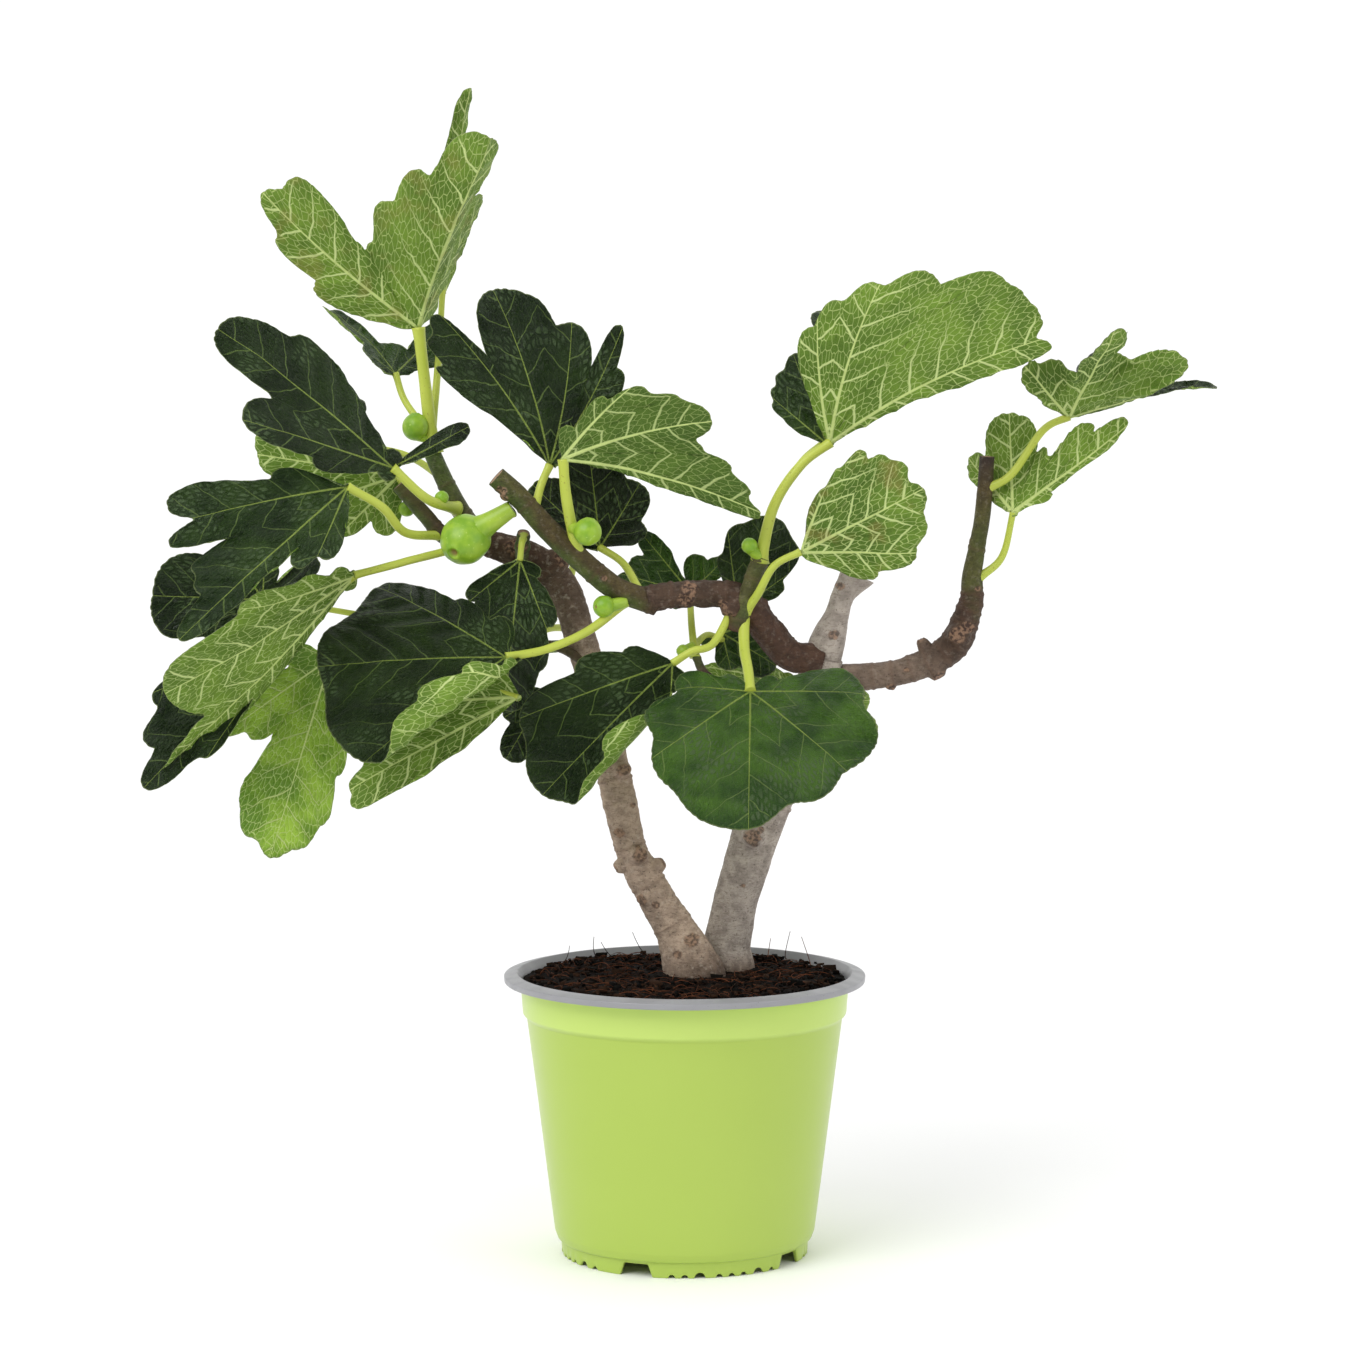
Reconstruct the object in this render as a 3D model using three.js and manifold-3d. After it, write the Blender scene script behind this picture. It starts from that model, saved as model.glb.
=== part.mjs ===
// A young fig tree in a lime-green nursery pot, in millimetres.
// Axes: X to the right, Y away from the front, Z up. The origin is the middle of the pot's underside.
// Every node is one closed body. The boughs and the masses of leaves stand GAP clear of what carries them.
import * as THREE from "three";
import { mergeVertices } from "three/addons/utils/BufferGeometryUtils.js";
import Module from "manifold-3d";

const wasm = await Module();
wasm.setup();
const { Manifold, Mesh } = wasm;

const GAP = 0.3; // clear distance between two nodes
const GROUND = 162; // top of the soil round the trunks
const TURN = 2 * Math.PI;
const rad = THREE.MathUtils.degToRad;
const vec = (p) => new THREE.Vector3(p[0], p[1], p[2]);

// ---------------------------------------------------------------- closed shapes

// A closed geometry with its shared corners merged, as a solid that can be joined and cut.
function solid(geometry) {
  const bare = geometry.clone();
  bare.deleteAttribute("normal");
  bare.deleteAttribute("uv");
  const merged = mergeVertices(bare, 1e-4);
  const corners = merged.index.array;
  const triVerts = [];
  for (let i = 0; i < corners.length; i += 3) {
    const [a, b, c] = corners.subarray(i, i + 3);
    if (a !== b && b !== c && c !== a) triVerts.push(a, b, c);
  }
  const vertProperties = merged.getAttribute("position").array;
  return new Manifold(new Mesh({ numProp: 3, vertProperties, triVerts: new Uint32Array(triVerts) }));
}

// A solid from points and the triangles between them.
function faceted(points, triangles) {
  const geometry = new THREE.BufferGeometry().setFromPoints(points);
  geometry.setIndex(triangles.flat());
  return solid(geometry);
}

// Rings of equal length, each counted anticlockwise as seen from the last ring's side, with flat ends.
function skin(rings) {
  const sides = rings[0].length;
  const points = rings.flat();
  const triangles = [];
  for (let i = 0; i + 1 < rings.length; i++) {
    for (let j = 0; j < sides; j++) {
      const k = (j + 1) % sides;
      const a = i * sides + j;
      const b = i * sides + k;
      triangles.push([a, b, b + sides], [a, b + sides, a + sides]);
    }
  }
  const middle = (ring) =>
    ring.reduce((sum, p) => sum.add(p), new THREE.Vector3()).divideScalar(ring.length);
  const first = points.push(middle(rings[0])) - 1;
  const last = points.push(middle(rings[rings.length - 1])) - 1;
  const top = (rings.length - 1) * sides;
  for (let j = 0; j < sides; j++) {
    const k = (j + 1) % sides;
    triangles.push([first, k, j], [last, top + j, top + k]);
  }
  return faceted(points, triangles);
}

// A profile of [radius, height] corners turned about the Z axis, from the outside's foot up and round.
function lathe(profile, sides) {
  const corners = profile.map(([r, z]) => new THREE.Vector2(r, z));
  return solid(new THREE.LatheGeometry(corners, sides).rotateX(Math.PI / 2));
}

// An upright cylinder on a point.
function cylinder(r, height, sides, [x, y, z]) {
  const upright = new THREE.CylinderGeometry(r, r, height, sides).rotateX(Math.PI / 2);
  return solid(upright.translate(x, y, z + height / 2));
}

// A smooth run through rows of [x, y, z, radius]: Catmull-Rom, so many steps between two rows.
function run(rows, steps) {
  const ends = (a, b) => a.map((v, i) => 2 * v - b[i]);
  const p = [ends(rows[0], rows[1]), ...rows, ends(rows.at(-1), rows.at(-2))];
  const out = [];
  for (let i = 1; i < p.length - 2; i++) {
    for (let s = 0; s < steps; s++) {
      const t = s / steps;
      out.push(
        p[i].map((b, n) => {
          const [a, c, d] = [p[i - 1][n], p[i + 1][n], p[i + 2][n]];
          const square = (2 * a - 5 * b + 4 * c - d) * t * t;
          const cube = (3 * b - a - 3 * c + d) * t * t * t;
          return 0.5 * (2 * b + (c - a) * t + square + cube);
        }),
      );
    }
  }
  out.push(rows.at(-1));
  return out;
}

// A round limb along rows of [x, y, z, radius]; more swells it, and makes it longer at both ends.
function limb(rows, sides, steps, more = 0) {
  const path = run(rows, steps);
  const at = path.map(vec);
  const along = at.map((_, i) =>
    at[Math.min(i + 1, at.length - 1)].clone().sub(at[Math.max(i - 1, 0)]).normalize(),
  );
  at[0].addScaledVector(along[0], -more);
  at[at.length - 1].addScaledVector(along.at(-1), more);
  let across = new THREE.Vector3(0.3, 1, 0.2).cross(along[0]).normalize();
  const rings = at.map((centre, i) => {
    across = across.clone().addScaledVector(along[i], -across.dot(along[i])).normalize();
    const other = along[i].clone().cross(across);
    const ring = [];
    for (let j = 0; j < sides; j++) {
      const a = (TURN * j) / sides;
      const r = path[i][3] + more;
      ring.push(
        centre.clone().addScaledVector(across, r * Math.cos(a)).addScaledVector(other, r * Math.sin(a)),
      );
    }
    return ring;
  });
  return skin(rings);
}

// An egg of radius r about a centre, tall times as long along its axis.
function egg([x, y, z], r, axis, tall, sides) {
  const turn = new THREE.Quaternion().setFromUnitVectors(new THREE.Vector3(0, 1, 0), vec(axis).normalize());
  const ball = new THREE.SphereGeometry(r, sides, sides / 2).scale(1, tall, 1);
  return solid(ball.applyQuaternion(turn).translate(x, y, z));
}

// ---------------------------------------------------------------- the pot and its soil

const POT_SIDES = 32;
const POT_OUTSIDE = [
  [69.9, 0],
  [71.7, 0],
  [72.1, 8.8],
  [74.2, 9.6],
  [75.8, 14],
  [91.7, 139],
  [94, 141.6],
  [95.3, 158.6],
  [96.4, 160.4],
  [104.7, 159.8],
  [105, 163.4],
];
const POT_INSIDE = [
  [97.2, 165.2],
  [94.6, 160.6],
  [93.2, 157.4],
  [91.6, 142.2],
  [89.2, 139.4],
  [73.4, 14.6],
  [72.4, 11],
];
const FLOOR = [8.5, 11]; // underside and top of the raised floor
const SKIRT_RADIUS = 71;
const SKIRT_GAP = [20, 7.5]; // width and height of a wide gap
const NOTCH_WIDTH = 6.4;
const SCALLOP_WIDTH = 4;
const FOOT_RADIUS = 16; // the pad under the middle of the floor
const DRAINS = 6;
const DRAIN_RADIUS = 5;
const DRAIN_CIRCLE = 46;
const GAP_ANGLES = [-113, -23, 57, 157]; // the wide gaps of the skirt, about the front, in degrees
const NOTCH_STEPS = [30, 59]; // the round notches, in degrees on from each gap
const SCALLOP_STEPS = [17, 23, 39, 45, 51, 67];

// A bar laid outwards through the skirt's foot at an angle about the front: square, or round with corners.
function cutter(width, tall, angle, corners = 0) {
  const bar = corners
    ? new THREE.CylinderGeometry(width / 2, width / 2, 20, corners).rotateZ(Math.PI / 2)
    : new THREE.BoxGeometry(20, width, 2 * tall);
  return solid(bar.translate(SKIRT_RADIUS, 0, 0).rotateZ(rad(angle - 90)));
}

function makePot() {
  const floor = [[0, FLOOR[1]], [0, FLOOR[0]], [POT_OUTSIDE[0][0], FLOOR[0]], POT_OUTSIDE[0]];
  const wall = lathe([...POT_OUTSIDE, ...POT_INSIDE, ...floor], POT_SIDES);
  const foot = cylinder(FOOT_RADIUS, FLOOR[1] - 1, 20, [0, 0, 0]);
  const cuts = [];
  for (const start of GAP_ANGLES) {
    cuts.push(cutter(...SKIRT_GAP, start));
    NOTCH_STEPS.forEach((step) => cuts.push(cutter(NOTCH_WIDTH, 0, start + step, 8)));
    SCALLOP_STEPS.forEach((step) => cuts.push(cutter(SCALLOP_WIDTH, 0, start + step, 4)));
  }
  for (let i = 0; i < DRAINS; i++) {
    const a = (TURN * (i + 0.5)) / DRAINS;
    const place = [DRAIN_CIRCLE * Math.cos(a), DRAIN_CIRCLE * Math.sin(a), FLOOR[0] - 2];
    cuts.push(cylinder(DRAIN_RADIUS, 8, 12, place));
  }
  return wall.add(foot).subtract(Manifold.union(cuts));
}

// The soil fills the pot, level round the trunks and falling a little to the wall.
function makeSoil() {
  const foot = FLOOR[1] + GAP;
  const beside = POT_INSIDE.slice(1).reverse().map(([r, z]) => [r - GAP - 0.35, Math.max(z, foot)]);
  return lathe([[0, foot], ...beside, [88, 161.4], [74, GROUND], [0, GROUND]], POT_SIDES);
}

// ---------------------------------------------------------------- trunks and boughs

// Each limb tapers through rows of [x, y, z, radius].
// The trunks start under the soil's top and are cut level.
const LIMBS = {
  trunk_left: [
    [7, 4, 155, 18.4], [5, 4, 164, 17.4], [0, 5, 177, 14.4], [-8, 8, 192, 11.2], [-20, 8, 213, 10],
    [-31, 8, 235, 9.4], [-37, 8, 261, 9.7], [-43, 10, 286, 9.8], [-50, 11, 322, 9.6],
    [-61, 13, 360, 9], [-71, 13, 388, 9.6], [-87, 8, 403, 9.4], [-105, 4, 411, 8.2], [-119, 0, 416, 7],
  ],
  trunk_right: [
    [25, 24, 155, 17], [25, 24, 165, 16], [25, 24, 177, 13.8], [28, 23, 195, 12.8], [32, 22, 212, 12.8],
    [42, 20, 244, 13.8], [51, 18, 268, 13.4], [64, 15, 304, 13], [76, 12, 328, 12.8], [80, 11, 347, 11.6],
  ],
  stub: [
    [81, 11, 350, 10.6], [84, 11, 360, 9.4], [88, 11, 372, 7], [92, 11, 384, 6.4], [100, 12, 394, 9.4],
  ],
  bough_right_low: [
    [92, 10, 335, 8.4], [113, 8, 337, 7.4], [128, 7, 340, 7.5], [145, 6, 347, 8.4], [157, 6, 357, 8.8],
    [163, 6, 371, 8],
  ],
  bough_right_up: [
    [163.6, 6, 373, 7.8], [166, 6, 382, 7], [166, 6, 395, 5.8], [169, 5, 413, 4.9], [172, 4, 433, 4.6],
    [174, 3, 464, 4.3],
  ],
  bough_left_low: [
    [74, 6, 346, 9.4], [60, 2, 350, 9], [47, -3, 365, 9.2], [38, -8, 378, 9], [26, -11, 385, 8.4],
    [9, -14, 386, 7.8], [-10, -17, 385, 8.1], [-22, -19, 383, 7.2],
  ],
  bough_left_up: [
    [-23, -19, 383, 7], [-40, -22, 390, 6.8], [-57, -25, 404, 6.6], [-77, -28, 423, 6.4],
    [-94, -31, 442, 6.2], [-107, -33, 454, 6],
  ],
  side_shoot: [
    [30, -14, 368, 6], [32, -15, 376, 5.8], [37, -16, 388, 5.5], [41, -16, 400, 5.2], [44, -16, 407, 4.9],
  ],
  twig_a: [[-120, 2, 420, 5.4], [-130, 4, 434, 5.4], [-139, 6, 451, 5], [-147, 8, 469, 4.7]],
  twig_b: [[-122, -3, 415, 5.4], [-138, -8, 419, 4.9], [-149, -10, 431, 4.3], [-164, -12, 448, 4]],
  twig_c: [[-94, -2, 405, 3.8], [-93, -12, 412, 4], [-92, -19, 421, 3.7]],
  twig_d: [[-52, 10, 340, 3.6], [-61, 6, 347, 3], [-74, 3, 354, 2.8], [-98, 1, 358, 2.6]],
  twig_e: [[52, 10, 320, 4], [28, 6, 328, 2.9], [12, 3, 338, 2.7], [6, 1, 350, 2.5]],
};
// A limb is cut back by those named here, so that it stands clear of them.
const CARRIED_BY = {
  trunk_left: ["trunk_right"],
  stub: ["trunk_right"],
  bough_right_low: ["trunk_right", "stub"],
  bough_right_up: ["bough_right_low"],
  bough_left_low: ["trunk_right", "stub"],
  bough_left_up: ["bough_left_low"],
  side_shoot: ["bough_left_low"],
  twig_a: ["trunk_left"],
  twig_b: ["trunk_left", "twig_a"],
  twig_c: ["trunk_left"],
  twig_d: ["trunk_left"],
  twig_e: ["trunk_right"],
};
// Scars and knobs where old shoots stood: limb, centre, radius.
const KNOBS = [
  ["trunk_left", [-36, -1, 283], 5], ["trunk_left", [-27, 0, 233], 6], ["trunk_left", [-23, 2, 208], 5],
  ["trunk_left", [-37, 6, 226], 4.5], ["trunk_left", [-16, 6, 226], 4.5],
  ["trunk_left", [-50, 4, 315], 5], ["trunk_left", [-99, 2, 410], 8], ["trunk_left", [-75, 6, 402], 8],
  ["trunk_right", [40, 8, 243], 7],
  ["bough_right_low", [145, 4, 341], 6], ["bough_right_low", [119, 4, 333], 4],
  ["bough_right_low", [138, 4, 355], 4], ["bough_right_low", [158, 1, 361], 7],
  ["bough_right_up", [169, 6, 390], 3.4], ["bough_right_up", [167, 5, 414], 3],
  ["bough_left_low", [2, -17, 387], 6.5], ["bough_left_low", [28, -14, 378], 7.5],
  ["bough_left_up", [-101, -36, 444], 3.6],
  ["twig_c", [-93, -14, 413], 4.6],
];
const LIMB_SIDES = { trunk_left: 10, trunk_right: 10 };

function makeLimb(name, more = 0) {
  const sides = LIMB_SIDES[name] ?? (name.startsWith("twig") ? 7 : 9);
  const knobs = KNOBS.filter(([of]) => of === name).map(([, centre, r]) =>
    egg(centre, r + more, [0, 0, 1], 1, 6),
  );
  const whole = Manifold.union([limb(LIMBS[name], sides, 1, more), ...knobs]);
  if (!name.startsWith("trunk")) return whole;
  const depth = 40;
  return whole.subtract(cylinder(POT_OUTSIDE[0][0], depth, 8, [0, 0, GROUND + GAP - more - depth]));
}

// ---------------------------------------------------------------- leaves

// A leaf's lobes are [angle from the midrib, reach in midribs, half its angle], all in degrees;
// angles grow to the left as the upper side is seen with the tip ahead.
// fold and curl tilt the left and the right half up: at the midrib, and per midrib of width beyond crease.
// droop bows the midrib down, and sweep bends it to the left in the blade's own plane.
// ripple is [height in midribs, waves round the blade].
const PLAIN = [0.55, 1]; // the rows of corners of a blade, as shares of the way to its margin
const FOLDED = [0.34, 0.67, 1];
const LEAF_DEFAULTS = {
  fold: [8, 8], crease: 0, curl: [0, 0], droop: 12, sweep: 0, ripple: [0.02, 5], rings: PLAIN,
};
const WHOLE = [
  [0, 1, 50], [54, 0.86, 50], [-54, 0.86, 50], [108, 0.6, 46], [-108, 0.6, 46],
  [152, 0.34, 30], [-152, 0.34, 30],
];
const CUT = [[0, 1, 26], [48, 0.86, 24], [-48, 0.86, 24], [98, 0.5, 30], [-98, 0.5, 30], [0, 0.56, 110]];

const MASSES = {
  leaves_top_left: [
    {
      base: [-153, 5, 538], tip: [-110, -25, 641], face: [-0.1, 1, 0.1],
      fold: [70, 0], curl: [30, -6], droop: -14, sweep: 6, rings: FOLDED,
      lobes: [[2, 1.03, 18], [-7, 1, 11], [-20, 0.82, 12], [-33, 0.68, 13], [-45, 0.5, 14], [-60, 0.99, 10],
        [-68, 1.03, 8], [-75, 0.84, 8], [-84, 0.56, 12], [30, 0.76, 32], [66, 0.28, 34]],
      stalk: [[-145, 8, 466, 4.7], [-149, 6, 502, 4], [-153, 5, 538, 3.7]],
    },
    {
      base: [-140, 40, 559], tip: [-124, 26, 675], face: [-0.8, 0.6, 0.1], fold: [20, 20], droop: 6,
      lobes: [[0, 1, 8], [0, 0.78, 13], [30, 0.22, 30], [-30, 0.22, 30]],
      stalk: [[-146, 9, 474, 2.8], [-143, 30, 519, 2.4], [-141, 40, 559, 2]],
    },
    {
      base: [-168, 30, 511], tip: [-207, 60, 547], face: [0.5, -0.4, 1], fold: [14, 14], droop: 20,
      lobes: [[0, 1, 13], [12, 0.98, 14], [-66, 0.95, 13], [-84, 0.7, 12], [0, 0.42, 110]],
      stalk: [[-147, 9, 476, 2.6], [-162, 24, 495, 2.4], [-168, 30, 511, 2.2]],
    },
  ],
  leaf_left_upper: [
    {
      base: [-166, -30, 459], tip: [-264, -62, 534], face: [0.25, -1, 0.5], fold: [4, 4], droop: 14,
      lobes: [[-3, 1, 14], [-10, 0.85, 9], [-17, 0.73, 11], [18, 0.76, 15], [31, 0.42, 16],
        [-118, 0.45, 11], [0, 0.09, 150]],
      stalk: [[-131, -1, 434, 3.6], [-147, -23, 441, 3.2], [-166, -30, 459, 2.9]],
    },
  ],
  leaf_left_behind: [
    {
      base: [-165, 6, 453], tip: [-246, 8, 462], face: [0, 1, 0.1], droop: -8,
      lobes: [[0, 1, 14], [10, 1.05, 14], [-50, 0.63, 18], [-80, 0.46, 24], [-25, 0.5, 24]],
      stalk: [[-149, -10, 430, 2.5], [-158, 2, 440, 2.4], [-165, 6, 453, 2.3]],
    },
  ],
  leaf_left_front: [
    {
      base: [-190, -50, 449], tip: [-283, -92, 420], face: [-0.1, -1, 0.4], fold: [10, 10], droop: 16,
      lobes: [[0, 1.03, 8], [-12, 0.98, 11], [-24, 0.42, 14], [12, 1.01, 7], [18, 1.07, 7], [25, 1.32, 7],
        [38, 0.62, 11], [50, 0.5, 15]],
      stalk: [[-139, -8, 419, 3], [-159, -28, 422, 2.9], [-171, -42, 437, 2.9], [-190, -50, 449, 2.6]],
    },
  ],
  leaves_left_lower: [
    {
      base: [-188, -34, 398], tip: [-292, -66, 333], face: [-0.45, 0.5, 0.75], fold: [6, -10], droop: -10,
      lobes: [[0, 1, 22], [-22, 1.24, 8], [22, 0.6, 26], [-14, 0.9, 14], [50, 0.16, 30], [-60, 0.1, 40]],
      stalk: [[-98, -31, 434, 2.7], [-124, -14, 415, 2.7], [-160, -25, 405, 2.6], [-188, -34, 398, 2.4]],
    },
    {
      base: [-226, -12, 360], tip: [-306, -30, 279], face: [0.05, -1, 0.3], droop: 14,
      lobes: [[0, 1.04, 9], [-10, 0.89, 11], [-21, 0.75, 11], [-31, 0.6, 9], [8, 0.74, 8],
        [-50, 0.38, 28]],
      stalk: [[-188, -34, 398, 2.2], [-209, -24, 378, 2], [-226, -12, 360, 1.8]],
    },
  ],
  leaves_left_shade: [
    {
      base: [-244, 6, 381], tip: [-305, -10, 380], face: [0.05, -1, 0.25], fold: [6, 6], droop: 10,
      lobes: [[-8, 1.01, 40], [10, 1, 24], [-60, 0.64, 34], [32, 0.66, 30], [-95, 0.4, 40],
        [90, 0.4, 40], [-146, 0.66, 16]],
      stalk: [[-96, 1, 358, 2.5], [-152, -4, 365, 2.2], [-192, -4, 374, 2], [-244, 6, 381, 1.8]],
    },
    {
      base: [-206, 20, 346], tip: [-238, -10, 237], face: [0.1, -1, 0.3], droop: 12,
      lobes: [[0, 1.04, 9], [-8, 0.98, 9], [-14, 0.86, 7], [-28, 0.57, 12], [-37, 0.66, 8], [-48, 0.43, 13],
        [7, 0.97, 8], [13, 0.84, 8], [20, 0.6, 8], [32, 0.42, 20], [0, 0.5, 34], [-78, 0.28, 26]],
      stalk: [[-96, 1, 358, 2.5], [-146, 4, 352, 2.2], [-180, 12, 348, 2], [-206, 20, 346, 2]],
    },
    {
      base: [-95, -34, 328], tip: [-185, -54, 272], face: [0.1, 1, -0.3], fold: [6, 4], droop: -8,
      lobes: [[-1, 1.04, 6], [4, 1.01, 8], [11, 0.88, 12], [30, 0.8, 26], [-4, 0.8, 6],
        [-5, 0.5, 10], [60, 0.4, 40]],
      stalk: [[-106, 1, 358, 2.3], [-140, -8, 350, 2.2], [-124, -25, 338, 2], [-95, -34, 328, 2]],
    },
  ],
  leaf_centre_front: [
    {
      base: [-101, -53, 353], tip: [-174, -97, 302], face: [-0.35, -1, 0.6],
      fold: [8, 4], crease: 0.06, curl: [900, -14], droop: 10, rings: FOLDED,
      lobes: [[-14, 1.1, 34], [-46, 1.08, 32], [-76, 0.97, 24], [-98, 0.54, 16], [-122, 0.3, 30],
        [4, 0.95, 18], [14, 0.9, 14], [26, 0.7, 16], [42, 0.44, 18], [64, 0.22, 26], [110, 0.1, 40]],
      stalk: [[-33, -22, 383, 3.2], [-54, -35, 367, 2.9], [-78, -46, 357, 2.7], [-101, -53, 353, 2.6]],
    },
  ],
  leaf_centre_hanging: [
    {
      base: [-94, -23, 406], tip: [-104, -10, 315], face: [-0.1, -1, -0.15], fold: [3, -6], droop: 8,
      lobes: [[0, 0.97, 20], [16, 0.7, 14], [32, 0.46, 17], [-47, 0.42, 16], [-20, 0.6, 24],
        [60, 0.16, 30]],
      stalk: [[-92, -18, 419, 2.4], [-93, -24, 415, 2.1], [-94, -23, 406, 1.8]],
    },
  ],
  leaf_trunk: [
    {
      base: [-81, 0, 328], tip: [-107, -8, 292], face: [0.1, -1, 0.3], fold: [6, 6],
      lobes: [[8, 1, 24], [-22, 0.62, 20], [-50, 0.25, 30], [40, 0.8, 30]],
      stalk: [[-52, 8, 326, 2.4], [-66, 2, 331, 2.2], [-81, 0, 328, 2]],
    },
  ],
  leaf_centre_upper: [
    {
      base: [-77, -22, 460], tip: [-101, -34, 560], face: [0.05, -1, 0.2], droop: 10, sweep: 8,
      lobes: [[5, 1.02, 17], [-6, 0.94, 12], [-21, 0.8, 17], [-39, 0.87, 7], [-47, 0.66, 11],
        [-58, 0.43, 12], [24, 1.06, 7], [30, 0.98, 6], [36, 0.84, 5]],
      stalk: [[-86, -29, 431, 2.8], [-82, -27, 448, 2.6], [-77, -22, 460, 2.4]],
    },
  ],
  leaf_centre_over: [
    {
      base: [-69, -36, 464], tip: [15, -62, 488], face: [0.1, 1, 0.2], fold: [6, 6], droop: -14, sweep: 10,
      lobes: [[0, 1, 13], [-9, 0.88, 12], [-20, 0.74, 12], [-32, 0.5, 14], [-55, 0.22, 26],
        [12, 0.9, 8], [19, 1.07, 8], [25, 1.2, 7], [30, 1.29, 5]],
      stalk: [[-61, -27, 409, 3.8], [-67, -35, 441, 3.5], [-69, -36, 464, 3]],
    },
  ],
  leaf_centre_back: [
    {
      base: [-49, 12, 411], tip: [-55, -4, 468], face: [0.1, -1, 0.2],
      lobes: [[0, 1, 34], [38, 0.97, 26], [-36, 0.77, 28], [-68, 0.5, 26], [62, 0.62, 20]],
      stalk: [[-25, -18, 386, 2.8], [-35, 0, 402, 2.6], [-49, 12, 411, 2.3]],
    },
  ],
  leaves_inner: [
    {
      base: [3, 22, 384], tip: [-26, 18, 420], face: [-0.2, -1, 0.5], fold: [12, 12],
      lobes: [[0, 0.97, 16], [24, 0.88, 20], [40, 0.98, 12], [-84, 0.6, 24], [-50, 0.5, 34],
        [80, 0.3, 40]],
      stalk: [[6, 1, 348, 2.5], [4, 8, 366, 2.3], [3, 22, 384, 2]],
    },
    {
      base: [22, 26, 360], tip: [54, 30, 340], face: [0, -1, 0.4],
      lobes: [[0, 1, 40], [50, 0.7, 40], [-50, 0.6, 40], [-120, 0.4, 40]],
      stalk: [[5, 3, 354, 2.2], [13, 16, 360, 2], [22, 26, 356, 1.8]],
    },
  ],
  leaf_node: [
    {
      base: [31, 14, 375], tip: [48, 2, 432], face: [0.1, -1, 0.2],
      lobes: [[-4, 0.98, 26], [16, 0.86, 18], [-24, 0.86, 16], [-40, 0.52, 18], [32, 0.6, 14]],
      stalk: [[29, -9, 383, 2.4], [30, 6, 372, 2.3], [31, 14, 375, 2]],
    },
  ],
  leaves_right_top: [
    {
      base: [83, -22, 473], tip: [172, -58, 563], face: [-0.1, 1, 0], fold: [4, 0], droop: -18, sweep: 12,
      lobes: [[0, 1.05, 12], [-13, 0.88, 13], [-25, 0.75, 13], [-37, 0.64, 12], [-48, 0.52, 12],
        [-54, 0.42, 6], [7, 1.05, 8], [13, 1.07, 9], [20, 1.05, 5]],
      stalk: [[43, -16, 405, 4.2], [51, -22, 437, 3.5], [66, -24, 460, 3.2], [83, -22, 473, 2.9]],
    },
    {
      base: [81, -20, 472], tip: [66, -8, 524], face: [0.1, -1, 0.2],
      lobes: [[3, 1, 20], [20, 0.88, 12], [31, 0.8, 10], [40, 0.7, 9], [46, 0.5, 9], [-20, 0.8, 20]],
    },
    {
      base: [112, 32, 514], tip: [124, 82, 554], face: [0, -0.5, 1],
      fold: [10, 10], droop: 16, lobes: CUT,
      stalk: [[44, -15, 405, 2.6], [52, -10, 437, 2.3], [67, 0, 461, 2.2], [86, 12, 478, 2.1],
        [112, 32, 514, 2]],
    },
  ],
  leaf_right_middle: [
    {
      base: [66, -28, 411], tip: [100, -46, 468], face: [0.1, 1, 0], fold: [6, 0], droop: -14,
      lobes: [[0, 1.03, 8], [-7, 0.8, 5], [-11, 0.6, 6], [9, 1.09, 9], [18, 1.16, 11], [31, 1.17, 14],
        [44, 1.09, 16], [58, 0.97, 16], [74, 0.67, 19]],
      stalk: [[35, -15, 376, 2.9], [42, -24, 387, 2.9], [51, -28, 403, 2.6], [66, -28, 411, 2.3]],
    },
  ],
  leaf_right_far: [
    {
      base: [221, 2, 487], tip: [302, -26, 505], face: [0.1, 0.5, 1],
      fold: [24, 10], droop: 12, ripple: [0.09, 7],
      lobes: [[0, 1, 9], [-23, 0.98, 11], [-54, 0.95, 15], [-99, 0.57, 13], [-40, 0.6, 74], [14, 0.5, 16]],
      stalk: [[173, 3, 445, 2.7], [188, 0, 454, 2.6], [206, 2, 479, 2.5], [221, 2, 487, 2.3]],
    },
  ],
  leaf_right_low: [
    {
      base: [189, 0, 432], tip: [257, -20, 479], face: [0, 0.9, -0.4],
      fold: [10, 6], droop: 10, ripple: [0.05, 6],
      lobes: [[-6, 1, 7.5], [-16, 0.8, 11], [-33, 0.5, 14], [-64, 0.7, 27], [-98, 0.54, 18], [4, 0.3, 6]],
      stalk: [[169, 6, 393, 2.7], [183, 4, 406, 2.4], [189, 0, 432, 2]],
    },
  ],
  leaf_front_left: [
    {
      base: [-7, -26, 347], tip: [-76, -52, 274], face: [-0.3, -1, 0.15],
      fold: [10, 4], crease: 0.1, curl: [800, 0], rings: FOLDED,
      lobes: [[-4, 1.03, 24], [-24, 0.91, 20], [-42, 0.54, 20], [-60, 0.28, 22], [12, 0.95, 12],
        [24, 0.72, 17], [60, 0.22, 30]],
      stalk: [[27, -12, 376, 2.7], [16, -24, 358, 2.6], [4, -27, 354, 2.5], [-7, -26, 347, 2.3]],
    },
  ],
  leaf_front: [
    {
      base: [37, -58, 334], tip: [35, -122, 264], face: [0, -1, 1.1],
      fold: [4, 4], curl: [-10, -10], droop: 16, rings: FOLDED,
      lobes: [[-6, 1.01, 34], [-30, 0.87, 34], [-62, 0.68, 32], [-98, 0.46, 22], [26, 0.9, 26],
        [56, 0.85, 34], [88, 0.68, 26], [105, 0.6, 14], [-120, 0.2, 30], [125, 0.2, 30]],
      stalk: [[34, -11, 375, 3.8], [34, -26, 356, 3.6], [36, -44, 344, 3.4], [37, -58, 334, 3.2]],
    },
  ],
  leaf_back_left: [
    {
      base: [-102, 52, 352], tip: [-154, 98, 318], face: [-0.3, 0.8, 0.9],
      fold: [10, 10], droop: 20, lobes: CUT,
      stalk: [[-58, 14, 362, 2.8], [-78, 38, 362, 2.4], [-102, 52, 352, 2.2]],
    },
  ],
  leaf_back_top: [
    {
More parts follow.
